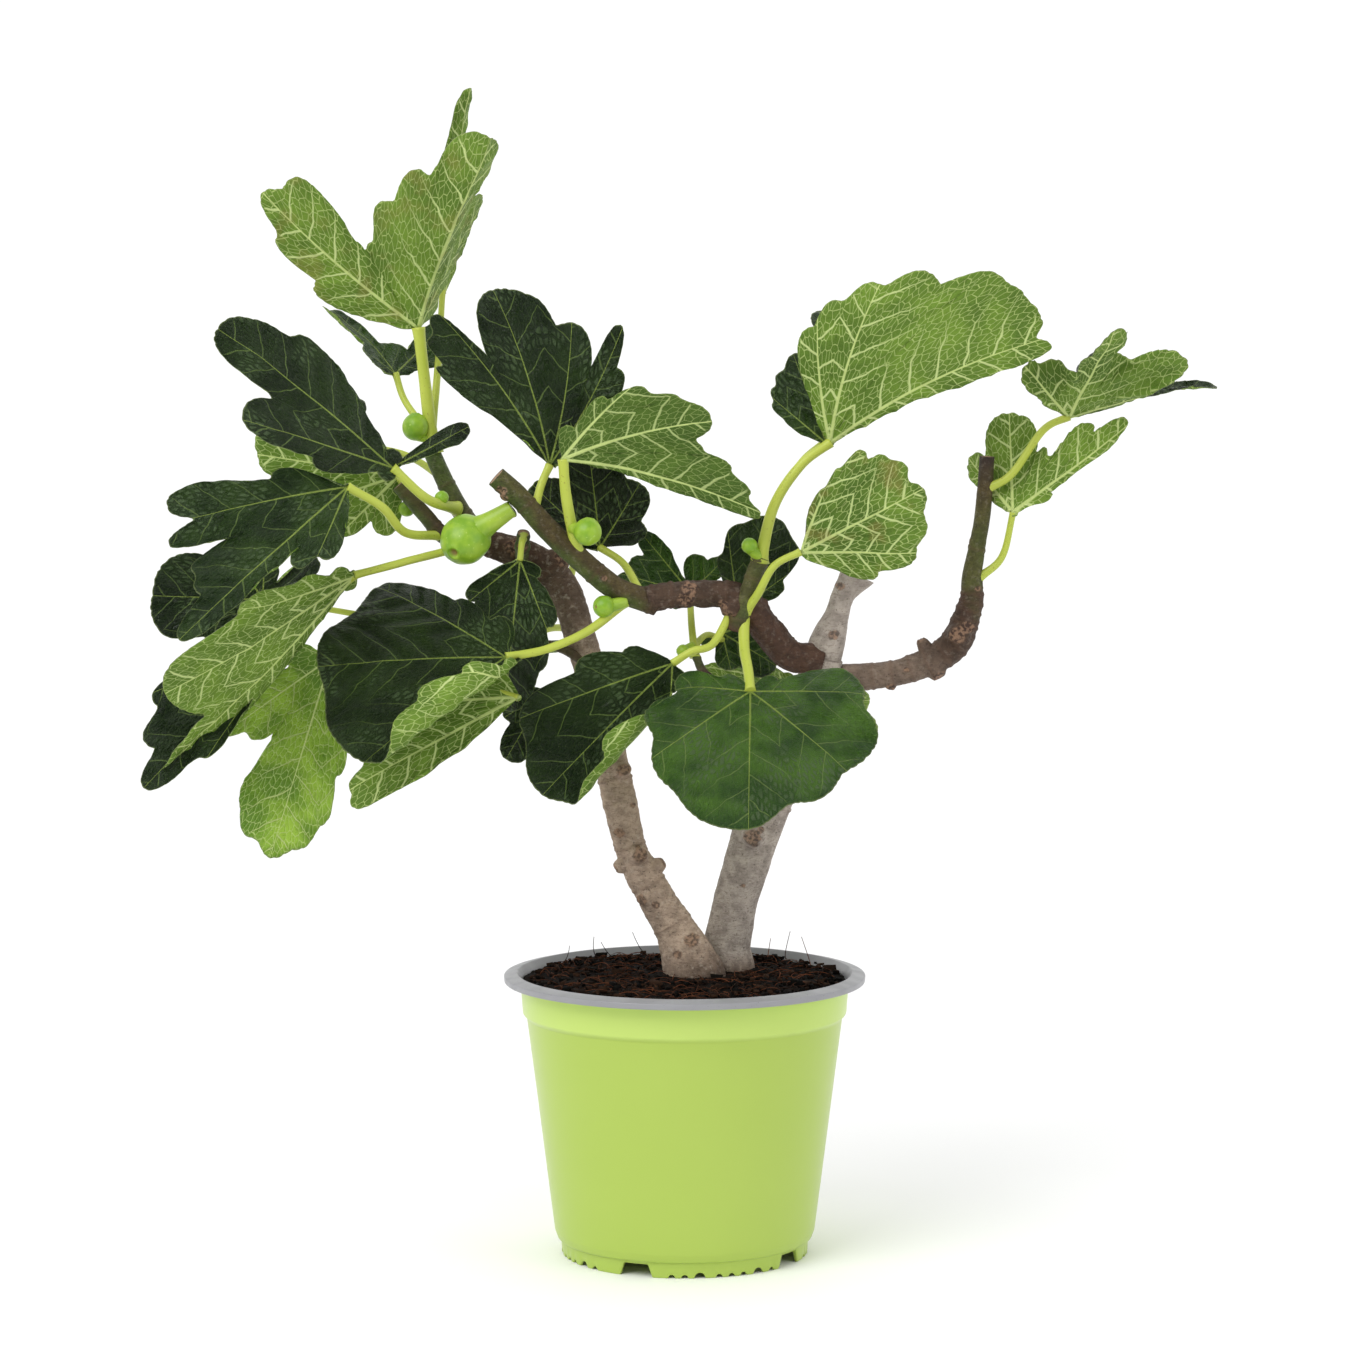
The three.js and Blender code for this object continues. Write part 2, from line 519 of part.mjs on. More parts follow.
      base: [-44, 50, 464], tip: [-56, 96, 490], face: [0, -0.4, 1], droop: 16, lobes: WHOLE,
      stalk: [[-68, 14, 388, 2.8], [-60, 40, 416, 2.4], [-48, 49, 445, 2.3], [-44, 50, 464, 2.2]],
    },
  ],
  leaf_back_low: [
    {
      base: [64, 62, 318], tip: [40, 112, 266], face: [0.1, 0.9, 0.7], droop: 18, lobes: WHOLE,
      stalk: [[66, 16, 307, 2.8], [68, 40, 317, 2.4], [64, 62, 318, 2.2]],
    },
  ],
  leaf_back_upper: [
    {
      base: [-204, 46, 470], tip: [-236, 80, 492], face: [0, -0.3, 1], droop: 16, lobes: CUT,
      stalk: [[-136, 6, 449, 2.7], [-164, 34, 464, 2.4], [-204, 46, 470, 2.2]],
    },
  ],
};

// The figs and buds: the mass that carries them, centre, radius, axis, length in widths,
// and rows of the neck.
const FIGS = [
  ["leaves_top_left", [-155, 4, 481], 7.5, [0, 0, 1], 1.05, [[-155, 5, 477, 4], [-147, 8, 474, 3]]],
  ["leaf_left_upper", [-139, -13, 441], 4, [0, 0, 1], 1, []],
  ["leaf_left_behind", [-160, 0, 434], 4.6, [0, 0, 1], 1, []],
  ["leaves_left_lower", [-125, -27, 418], 14.2, [-0.3, -0.6, -0.35], 1.1,
    [[-120, -28, 422, 10], [-112, -30, 427, 6.6], [-98, -31, 436, 4.6]]],
  ["leaf_centre_over", [-55, -40, 423], 8, [0.2, 0, 1], 1, [[-56, -39, 423, 4.4], [-64, -32, 425, 3.4]]],
  ["leaf_centre_front", [-46, -31, 380], 6.3, [-0.6, -0.5, 0], 1,
    [[-44, -31, 380, 4], [-34, -25, 382, 3.4]]],
  ["leaves_right_top", [37, -22, 414], 4.6, [-0.4, 0, 0.9], 1, [[38, -21, 412, 3.4], [44, -17, 406, 3]]],
  ["leaves_inner", [-1, -1, 352], 3.8, [-1, 0, 0], 1, [[-1, -1, 352, 2.6], [5, 3, 355, 2.4]]],
];

const RAYS = 18; // corners of a blade's margin
const THICKNESS = 1 / 85; // of the midrib's length
const THINNEST = 1.4;

const SHORTEST = 0.02; // the reach between lobes that don't meet
const BLEND = 12; // the higher, the sharper the notch between two lobes
const ROUNDNESS = 2.4; // of a lobe's end

// How far the blade reaches at an angle: the lobes run smoothly into each other.
function reach(lobes, angle) {
  let sum = SHORTEST ** BLEND;
  for (const [at, far, half] of lobes) {
    const off = Math.abs(THREE.MathUtils.euclideanModulo(angle - rad(at) + Math.PI, TURN) - Math.PI);
    const u = Math.min(off / rad(half), 1);
    sum += (far * Math.sqrt(1 - u ** ROUNDNESS)) ** BLEND;
  }
  return sum ** (1 / BLEND);
}

// Angles at equal steps along the margin, the same number to each side of the midrib.
function rayAngles(lobes) {
  const fine = 360;
  const sides = [1, -1].map((sign) => {
    const steps = [0];
    let before;
    for (let i = 0; i <= fine; i++) {
      const angle = (Math.PI * i) / fine;
      const r = reach(lobes, sign * angle);
      const here = [r * Math.cos(angle), r * Math.sin(angle)];
      if (before) steps.push(steps.at(-1) + Math.hypot(here[0] - before[0], here[1] - before[1]));
      before = here;
    }
    const out = [];
    for (let j = 0; j <= RAYS / 2; j++) {
      const want = (steps.at(-1) * j) / (RAYS / 2);
      let i = steps.findIndex((s) => s >= want - 1e-9);
      i = Math.max(i, 1);
      const t = (want - steps[i - 1]) / (steps[i] - steps[i - 1]);
      out.push((sign * Math.PI * (i - 1 + t)) / fine);
    }
    return out;
  });
  return [...sides[0], ...sides[1].reverse().slice(1, -1)];
}

const UPWARD = new THREE.Vector3(0, 0, 1);
const FOLDED_BACK = rad(165); // the most that a half folds over

// The point of a bent blade at a share of the way out along an angle.
function bladePoint(leaf, frame, angle, share) {
  const r = reach(leaf.lobes, angle) * share;
  const [x, y] = [r * Math.cos(angle), r * Math.sin(angle)];
  const side = y > 0 ? 0 : 1;
  const [fold, curl] = [rad(leaf.fold[side]), rad(leaf.curl[side]) + 1e-6];
  const flat = Math.min(Math.abs(y), leaf.crease);
  const rolled = Math.min(Math.abs(y) - flat, Math.max((FOLDED_BACK - fold) / Math.abs(curl), 0));
  const end = fold + curl * rolled;
  const rest = Math.abs(y) - flat - rolled;
  const across = flat * Math.cos(fold) + (Math.sin(end) - Math.sin(fold)) / curl + rest * Math.cos(end);
  const out = across * Math.sign(y);
  const [wave, waves] = leaf.ripple;
  const rise =
    flat * Math.sin(fold) + (Math.cos(fold) - Math.cos(end)) / curl + rest * Math.sin(end) +
    wave * Math.sin(waves * angle) * share ** 3 * Math.min(1, r * 2);
  const turn = frame.droop * x;
  const ahead = Math.sin(turn) / frame.droop + rise * Math.sin(turn);
  const up = -(1 - Math.cos(turn)) / frame.droop + rise * Math.cos(turn);
  const bent = new THREE.Vector3(ahead, out, up).applyAxisAngle(UPWARD, rad(leaf.sweep) * (r - 1));
  return vec(leaf.base)
    .addScaledVector(frame.to[0], frame.size * bent.dot(frame.from[0]))
    .addScaledVector(frame.to[1], frame.size * bent.dot(frame.from[1]))
    .addScaledVector(frame.to[2], frame.size * bent.dot(frame.from[2]));
}

// The bowed midrib's chord is laid from the base to the tip, with the upper side towards face.
function bladeFrame(leaf) {
  const droop = rad(leaf.droop) + 1e-6;
  const end = new THREE.Vector3(Math.sin(droop) / droop, 0, -(1 - Math.cos(droop)) / droop);
  const square = (ahead, up) => {
    const first = ahead.clone().normalize();
    const third = up.clone().addScaledVector(first, -up.dot(first)).normalize();
    return [first, third.clone().cross(first), third];
  };
  const chord = vec(leaf.tip).sub(vec(leaf.base));
  return {
    droop,
    from: square(end, new THREE.Vector3(0, 0, 1)),
    to: square(chord, vec(leaf.face)),
    size: chord.length() / end.length(),
  };
}

// A blade as a thin closed body: corners in rings about its base, half the thickness to each side.
function blade(leaf) {
  const frame = bladeFrame(leaf);
  const angles = rayAngles(leaf.lobes);
  const count = angles.length;
  const middle = [bladePoint(leaf, frame, 0, 0)];
  leaf.rings.forEach((share) => angles.forEach((a) => middle.push(bladePoint(leaf, frame, a, share))));
  const upper = [];
  for (let j = 0; j < count; j++) {
    const k = (j + 1) % count;
    upper.push([0, 1 + j, 1 + k]);
    for (let i = 0; i + 1 < leaf.rings.length; i++) {
      const [a, b] = [1 + i * count + j, 1 + i * count + k];
      upper.push([a, a + count, b + count], [a, b + count, b]);
    }
  }
  const normals = middle.map(() => new THREE.Vector3());
  upper.forEach(([a, b, c]) => {
    const across = middle[b].clone().sub(middle[a]);
    const facing = across.cross(middle[c].clone().sub(middle[a]));
    [a, b, c].forEach((i) => normals[i].add(facing));
  });
  const half = Math.max(THINNEST, frame.size * THICKNESS) / 2;
  normals.forEach((normal) => normal.normalize());
  const offset = (sign) => middle.map((p, i) => p.clone().addScaledVector(normals[i], sign * half));
  const points = [...offset(1), ...offset(-1)];
  const low = middle.length;
  const triangles = [...upper, ...upper.map(([a, b, c]) => [a + low, c + low, b + low])];
  const margin = 1 + (leaf.rings.length - 1) * count;
  for (let j = 0; j < count; j++) {
    const [a, b] = [margin + j, margin + ((j + 1) % count)];
    triangles.push([a, a + low, b + low], [a, b + low, b]);
  }
  return faceted(points, triangles);
}

// The biggest body of a solid: what a cut leaves loose is dropped.
function biggest(whole) {
  return whole.decompose().reduce((a, b) => (b.volume() > a.volume() ? b : a));
}

// A mass of leaves: blades and figs fused on to their stalks, cut back clear of every limb.
function makeMass(name, limbsAround) {
  const pieces = [];
  for (const row of MASSES[name]) {
    const leaf = { ...LEAF_DEFAULTS, ...row };
    pieces.push(blade(leaf));
    if (leaf.stalk) pieces.push(limb(leaf.stalk, 5, 2));
  }
  for (const [mass, centre, r, axis, tall, neck] of FIGS) {
    if (mass !== name) continue;
    pieces.push(egg(centre, r, axis, tall, r > 10 ? 10 : 8));
    if (neck.length) pieces.push(limb(neck, 6, 1));
  }
  return biggest(Manifold.union(pieces).subtract(limbsAround));
}

// ---------------------------------------------------------------- the object

const FINISHES = {
  pot: { color: 0xb0cc54, roughness: 0.35, metalness: 0 },
  soil: { color: 0x2e231c, roughness: 1, metalness: 0 },
  trunk: { color: 0x8f8475, roughness: 0.85, metalness: 0 },
  bough: { color: 0x5f4438, roughness: 0.8, metalness: 0 },
  leaf: { color: 0x3c6a2e, roughness: 0.55, metalness: 0 },
};

function addNode(group, name, whole, finish) {
  const { vertProperties, triVerts, numProp } = whole.getMesh();
  const geometry = new THREE.BufferGeometry();
  const places = new THREE.InterleavedBuffer(vertProperties, numProp);
  geometry.setAttribute("position", new THREE.InterleavedBufferAttribute(places, 3, 0));
  geometry.setIndex(new THREE.BufferAttribute(triVerts, 1));
  const mesh = new THREE.Mesh(geometry.toNonIndexed(), new THREE.MeshStandardMaterial(FINISHES[finish]));
  mesh.geometry.computeVertexNormals();
  mesh.name = name;
  group.add(mesh);
}

const figTree = new THREE.Group();
const [container, wood, foliage] = ["container", "wood", "foliage"].map((name) => {
  const group = new THREE.Group();
  group.name = name;
  figTree.add(group);
  return group;
});
addNode(container, "pot", makePot(), "pot");
addNode(container, "soil", makeSoil(), "soil");
for (const name of Object.keys(LIMBS)) {
  const carriers = (CARRIED_BY[name] ?? []).map((other) => makeLimb(other, GAP));
  const whole = carriers.length ? makeLimb(name).subtract(Manifold.union(carriers)) : makeLimb(name);
  addNode(wood, name, biggest(whole), name.startsWith("trunk") ? "trunk" : "bough");
}
const limbsAround = Manifold.union(Object.keys(LIMBS).map((name) => makeLimb(name, GAP)));
for (const name of Object.keys(MASSES)) {
  addNode(foliage, name, makeMass(name, limbsAround), "leaf");
}

export default figTree;
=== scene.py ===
"""A young fig tree in a lime-green nursery pot: looks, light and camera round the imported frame.

Lengths are in mm unless they say otherwise.
"""

import math

import bpy
import numpy as np
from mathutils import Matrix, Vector
from mathutils.geometry import delaunay_2d_cdt


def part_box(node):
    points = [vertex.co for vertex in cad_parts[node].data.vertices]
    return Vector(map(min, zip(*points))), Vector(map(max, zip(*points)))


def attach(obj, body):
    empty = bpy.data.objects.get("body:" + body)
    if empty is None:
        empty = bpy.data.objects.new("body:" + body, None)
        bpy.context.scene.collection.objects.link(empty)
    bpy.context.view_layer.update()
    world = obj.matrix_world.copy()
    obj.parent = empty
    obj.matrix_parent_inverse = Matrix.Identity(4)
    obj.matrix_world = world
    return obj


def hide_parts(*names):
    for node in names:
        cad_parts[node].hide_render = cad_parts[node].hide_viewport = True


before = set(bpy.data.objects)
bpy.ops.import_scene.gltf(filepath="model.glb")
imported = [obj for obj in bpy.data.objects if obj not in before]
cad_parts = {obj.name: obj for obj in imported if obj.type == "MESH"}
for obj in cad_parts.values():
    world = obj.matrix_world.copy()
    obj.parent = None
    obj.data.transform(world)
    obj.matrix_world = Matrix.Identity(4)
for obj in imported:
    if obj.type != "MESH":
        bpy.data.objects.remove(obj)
MM = 0.001
TURN = 2 * math.pi
ISLAND_GAP = 0.004  # of the unit square, between two islands
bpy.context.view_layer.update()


# ---------------------------------------------------------------- numbers and noise


def hashed(i, j, k, seed):
    """A fixed number from 0 to 1 for each whole-numbered place."""
    mixed = i * 374761393 + j * 668265263 + k * 1274126177 + seed * 362437
    mixed = (mixed ^ (mixed >> 13)) & 0xFFFFFFFF
    mixed = (mixed * 1274126177) & 0xFFFFFFFF
    return ((mixed ^ (mixed >> 16)) & 0xFFFFFF) / 0xFFFFFF


def noise(points, scale, seed=0):
    """Smooth value noise from -1 to 1 at points, with lumps about scale across (one number or three)."""
    at = np.asarray(points, float) / np.asarray(scale, float)
    cell = np.floor(at).astype(np.int64)
    part = at - cell
    part = part * part * (3 - 2 * part)
    total = 0
    for i, j, k in np.ndindex(2, 2, 2):
        share = np.abs(1 - i - part[..., 0]) * np.abs(1 - j - part[..., 1]) * np.abs(1 - k - part[..., 2])
        total = total + share * hashed(cell[..., 0] + i, cell[..., 1] + j, cell[..., 2] + k, seed)
    return 2 * total - 1


def cloud(points, scale, seed=0, octaves=3):
    """Several octaves of noise."""
    total = 0
    for n in range(octaves):
        total = total + 0.5**n * noise(points, np.asarray(scale, float) / 2**n, seed + 17 * n)
    return total / (2 - 0.5 ** (octaves - 1))


def smooth(low, high, value):
    """0 below low, 1 above high, and an even rise between."""
    t = np.clip((value - low) / (high - low), 0, 1)
    return t * t * (3 - 2 * t)


def bell(value):
    """1 at 0, falling away to both sides; a third or so at 1."""
    return np.exp(-(value**2))


def circle(count):
    """Angles at equal steps round a full turn."""
    return TURN * np.arange(count) / count


def around(r, turn, z):
    """Points at radius r, angle turn and height z about the z axis."""
    return np.stack(np.broadcast_arrays(r * np.cos(turn), r * np.sin(turn), z), -1)


def lengths_along(points):
    """How far along a path each of its points stands."""
    return np.concatenate([[0], np.cumsum(np.linalg.norm(np.diff(points, axis=0), axis=1))])


def unit(vectors):
    return vectors / np.maximum(np.linalg.norm(vectors, axis=-1, keepdims=True), 1e-9)


def srgb(r, g, b):
    """A colour given in the 0 to 255 numbers of a screen, as linear light."""
    out = []
    for value in (r, g, b):
        share = value / 255
        out.append(share / 12.92 if share <= 0.04045 else ((share + 0.055) / 1.055) ** 2.4)
    return tuple(out)


# ---------------------------------------------------------------- building meshes


class Piece:
    """Sub-meshes joined into one object: points in mm, triangles, values on points, and a net on corners."""

    def __init__(self, name):
        self.name = name
        self.parts = []

    def add(self, points, triangles, sheet, island, material=0, values=None, net=None):
        """sheet is each corner's place in mm on the flat cloth that the triangle's island is cut from.

        net is each corner's place in a leaf's net of veins.
        """
        count = len(triangles)
        part = {
            "points": np.asarray(points, float),
            "triangles": np.asarray(triangles, np.int64),
            "sheet": np.asarray(sheet, float).reshape(count, 3, 2),
            "island": np.broadcast_to(np.asarray(island, np.int64), count),
            "material": np.broadcast_to(np.asarray(material, np.int64), count),
            "values": values or {},
            "net": net,
        }
        self.parts.append(part)

    def all_of(self, key):
        return np.concatenate([p[key] for p in self.parts])

    def build(self, materials):
        starts = np.cumsum([0] + [len(p["points"]) for p in self.parts])
        points = self.all_of("points") * MM
        triangles = np.concatenate([p["triangles"] + s for p, s in zip(self.parts, starts)])
        mesh = bpy.data.meshes.new(self.name)
        mesh.vertices.add(len(points))
        mesh.vertices.foreach_set("co", points.astype(np.float32).ravel())
        mesh.loops.add(triangles.size)
        mesh.loops.foreach_set("vertex_index", triangles.astype(np.int32).ravel())
        mesh.polygons.add(len(triangles))
        mesh.polygons.foreach_set("loop_start", np.arange(0, triangles.size, 3, dtype=np.int32))
        mesh.polygons.foreach_set("material_index", self.all_of("material").astype(np.int32))
        mesh.update(calc_edges=True)
        mesh.polygons.foreach_set("use_smooth", np.ones(len(triangles), bool))
        maps = {"OFBake": self.packed()}
        if self.parts[0]["net"] is not None:
            maps = {"net": self.all_of("net"), **maps}
        for key, corners in maps.items():
            layer = mesh.uv_layers.new(name=key)
            layer.data.foreach_set("uv", corners.astype(np.float32).ravel())
        for key in sorted({k for p in self.parts for k in p["values"]}):
            given = [np.asarray(p["values"].get(key, 0.0), float) for p in self.parts]
            wide = any(g.ndim == 2 for g in given)
            attribute = mesh.attributes.new(key, "FLOAT_COLOR" if wide else "FLOAT", "POINT")
            rows = []
            for part, values in zip(self.parts, given):
                shape = (len(part["points"]), 4) if wide else (len(part["points"]),)
                rows.append(np.broadcast_to(values, shape).reshape(-1))
            attribute.data.foreach_set("color" if wide else "value", np.concatenate(rows).astype(np.float32))
        thing = bpy.data.objects.new(self.name, mesh)
        bpy.context.scene.collection.objects.link(thing)
        for material in materials:
            mesh.materials.append(material)
        return thing

    def packed(self):
        """The sheets' islands laid side by side on shelves in the unit square."""
        boxes = []
        for number, part in enumerate(self.parts):
            for island in np.unique(part["island"]):
                chosen = part["sheet"][part["island"] == island].reshape(-1, 2)
                low, high = chosen.min(0), chosen.max(0)
                boxes.append((number, island, low, high - low))
        boxes.sort(key=lambda box: -box[3][1])

        def lay(scale):
            edge = ISLAND_GAP
            x, y, tall = edge, edge, 0.0
            places = []
            for number, island, low, size in boxes:
                wide, high = size * scale
                if x + wide + edge > 1:
                    x, y, tall = edge, y + tall + edge, 0.0
                if x + wide + edge > 1 or y + high + edge > 1:
                    return None
                places.append((number, island, low, (x, y)))
                x += wide + edge
                tall = max(tall, high)
            return places

        little, much = 1e-5, 1.0  # scales: the first surely fits, the second surely doesn't
        for _ in range(40):
            middle = math.sqrt(little * much)
            if lay(middle):
                little = middle
            else:
                much = middle
        out = [np.zeros_like(p["sheet"]) for p in self.parts]
        for number, island, low, corner in lay(little):
            chosen = self.parts[number]["island"] == island
            out[number][chosen] = (self.parts[number]["sheet"][chosen] - low) * little + corner
        return np.concatenate([o.reshape(-1, 2) for o in out])


def grid_triangles(rows, columns):
    """Triangles of a grid of points, row after row, whose last column joins up with its first."""
    i = np.arange(rows - 1)[:, None]
    j = np.arange(columns)[None, :]
    a = (i * columns + j).ravel()
    b = (i * columns + (j + 1) % columns).ravel()
    return np.concatenate([np.stack([a, b, b + columns], 1), np.stack([a, b + columns, a + columns], 1)])


def grid_corners(rows, columns, across, along):
    """For each corner of grid_triangles its place from across (columns + 1 long) and along (one a row)."""
    i = np.repeat(np.arange(rows - 1), columns)
    j = np.tile(np.arange(columns), rows - 1)
    across = np.broadcast_to(across, (rows, columns + 1))
    along = np.broadcast_to(np.reshape(along, (rows, -1)), (rows, columns + 1))

    def corner(di, dj):
        return np.stack([across[i + di, j + dj], along[i + di, j + dj]], 1)

    first = np.stack([corner(0, 0), corner(0, 1), corner(1, 1)], 1)
    second = np.stack([corner(0, 0), corner(1, 1), corner(1, 0)], 1)
    return np.concatenate([first, second])


# ---------------------------------------------------------------- the plant, as in the part's own source

GROUND = 162  # top of the soil round the trunks
# Each limb tapers through rows of [x, y, z, radius].
LIMBS = {
  "trunk_left": [
    [7, 4, 155, 18.4], [5, 4, 164, 17.4], [0, 5, 177, 14.4], [-8, 8, 192, 11.2], [-20, 8, 213, 10],
    [-31, 8, 235, 9.4], [-37, 8, 261, 9.7], [-43, 10, 286, 9.8], [-50, 11, 322, 9.6],
    [-61, 13, 360, 9], [-71, 13, 388, 9.6], [-87, 8, 403, 9.4], [-105, 4, 411, 8.2], [-119, 0, 416, 7],
  ],
  "trunk_right": [
    [25, 24, 155, 17], [25, 24, 165, 16], [25, 24, 177, 13.8], [28, 23, 195, 12.8], [32, 22, 212, 12.8],
    [42, 20, 244, 13.8], [51, 18, 268, 13.4], [64, 15, 304, 13], [76, 12, 328, 12.8], [80, 11, 347, 11.6],
  ],
  "stub": [
    [81, 11, 350, 10.6], [84, 11, 360, 9.4], [88, 11, 372, 7], [92, 11, 384, 6.4], [100, 12, 394, 9.4],
  ],
  "bough_right_low": [
    [92, 10, 335, 8.4], [113, 8, 337, 7.4], [128, 7, 340, 7.5], [145, 6, 347, 8.4], [157, 6, 357, 8.8],
    [163, 6, 371, 8],
  ],
  "bough_right_up": [
    [163.6, 6, 373, 7.8], [166, 6, 382, 7], [166, 6, 395, 5.8], [169, 5, 413, 4.9], [172, 4, 433, 4.6],
    [174, 3, 464, 4.3],
  ],
  "bough_left_low": [
    [74, 6, 346, 9.4], [60, 2, 350, 9], [47, -3, 365, 9.2], [38, -8, 378, 9], [26, -11, 385, 8.4],
    [9, -14, 386, 7.8], [-10, -17, 385, 8.1], [-22, -19, 383, 7.2],
  ],
  "bough_left_up": [
    [-23, -19, 383, 7], [-40, -22, 390, 6.8], [-57, -25, 404, 6.6], [-77, -28, 423, 6.4],
    [-94, -31, 442, 6.2], [-107, -33, 454, 6],
  ],
  "side_shoot": [
    [30, -14, 368, 6], [32, -15, 376, 5.8], [37, -16, 388, 5.5], [41, -16, 400, 5.2], [44, -16, 407, 4.9],
  ],
  "twig_a": [[-120, 2, 420, 5.4], [-130, 4, 434, 5.4], [-139, 6, 451, 5], [-147, 8, 469, 4.7]],
  "twig_b": [[-122, -3, 415, 5.4], [-138, -8, 419, 4.9], [-149, -10, 431, 4.3], [-164, -12, 448, 4]],
  "twig_c": [[-94, -2, 405, 3.8], [-93, -12, 412, 4], [-92, -19, 421, 3.7]],
  "twig_d": [[-52, 10, 340, 3.6], [-61, 6, 347, 3], [-74, 3, 354, 2.8], [-98, 1, 358, 2.6]],
  "twig_e": [[52, 10, 320, 4], [28, 6, 328, 2.9], [12, 3, 338, 2.7], [6, 1, 350, 2.5]],
}
# Scars and knobs where old shoots stood, limb by limb: x, y, z, radius.
KNOBS = {
  "trunk_left": [[-36, -1, 283, 5], [-27, 0, 233, 6], [-23, 2, 208, 5], [-37, 6, 226, 4.5],
    [-16, 6, 226, 4.5], [-50, 4, 315, 5], [-99, 2, 410, 8], [-75, 6, 402, 8]],
  "trunk_right": [[40, 8, 243, 7]],
  "bough_right_low": [[145, 4, 341, 6], [119, 4, 333, 4], [138, 4, 355, 4], [158, 1, 361, 7]],
  "bough_right_up": [[169, 6, 390, 3.4], [167, 5, 414, 3]],
  "bough_left_low": [[2, -17, 387, 6.5], [28, -14, 378, 7.5]],
  "bough_left_up": [[-101, -36, 444, 3.6]],
  "twig_c": [[-93, -14, 413, 4.6]],
}

# A leaf's lobes are [angle from the midrib, reach in midribs, half its angle], angles growing to the left as
# the upper side is seen with the tip ahead. fold and curl tilt its left and right half up, the curl from the
# crease on, droop bows its midrib down, sweep bends it to the left, ripple is [height, waves]. veins are the
# angles of its main veins. tone runs from -1, shaded, over 0, dark and old, to 1, young. tooth is the length
# and depth in mm of the margin's teeth, crumple and quilt are the heights in mm of its lumps, and blush is
# how brown it is in places. The midrib runs from base to tip, and face is where its upper side looks.
# stalk is rows of [x, y, z, radius].
LEAF_DEFAULTS = dict(fold=[8, 8], crease=0, curl=[0, 0], droop=12, sweep=0, ripple=[0.02, 5], tone=0.12,
  tooth=(5.4, 0.9), quilt=1.4, crumple=1.5, blush=0.0)
WHOLE = [[0, 1, 50], [54, 0.86, 50], [-54, 0.86, 50], [108, 0.6, 46], [-108, 0.6, 46],
  [152, 0.34, 30], [-152, 0.34, 30]]
CUT = [[0, 1, 26], [48, 0.86, 24], [-48, 0.86, 24], [98, 0.5, 30], [-98, 0.5, 30], [0, 0.56, 110]]
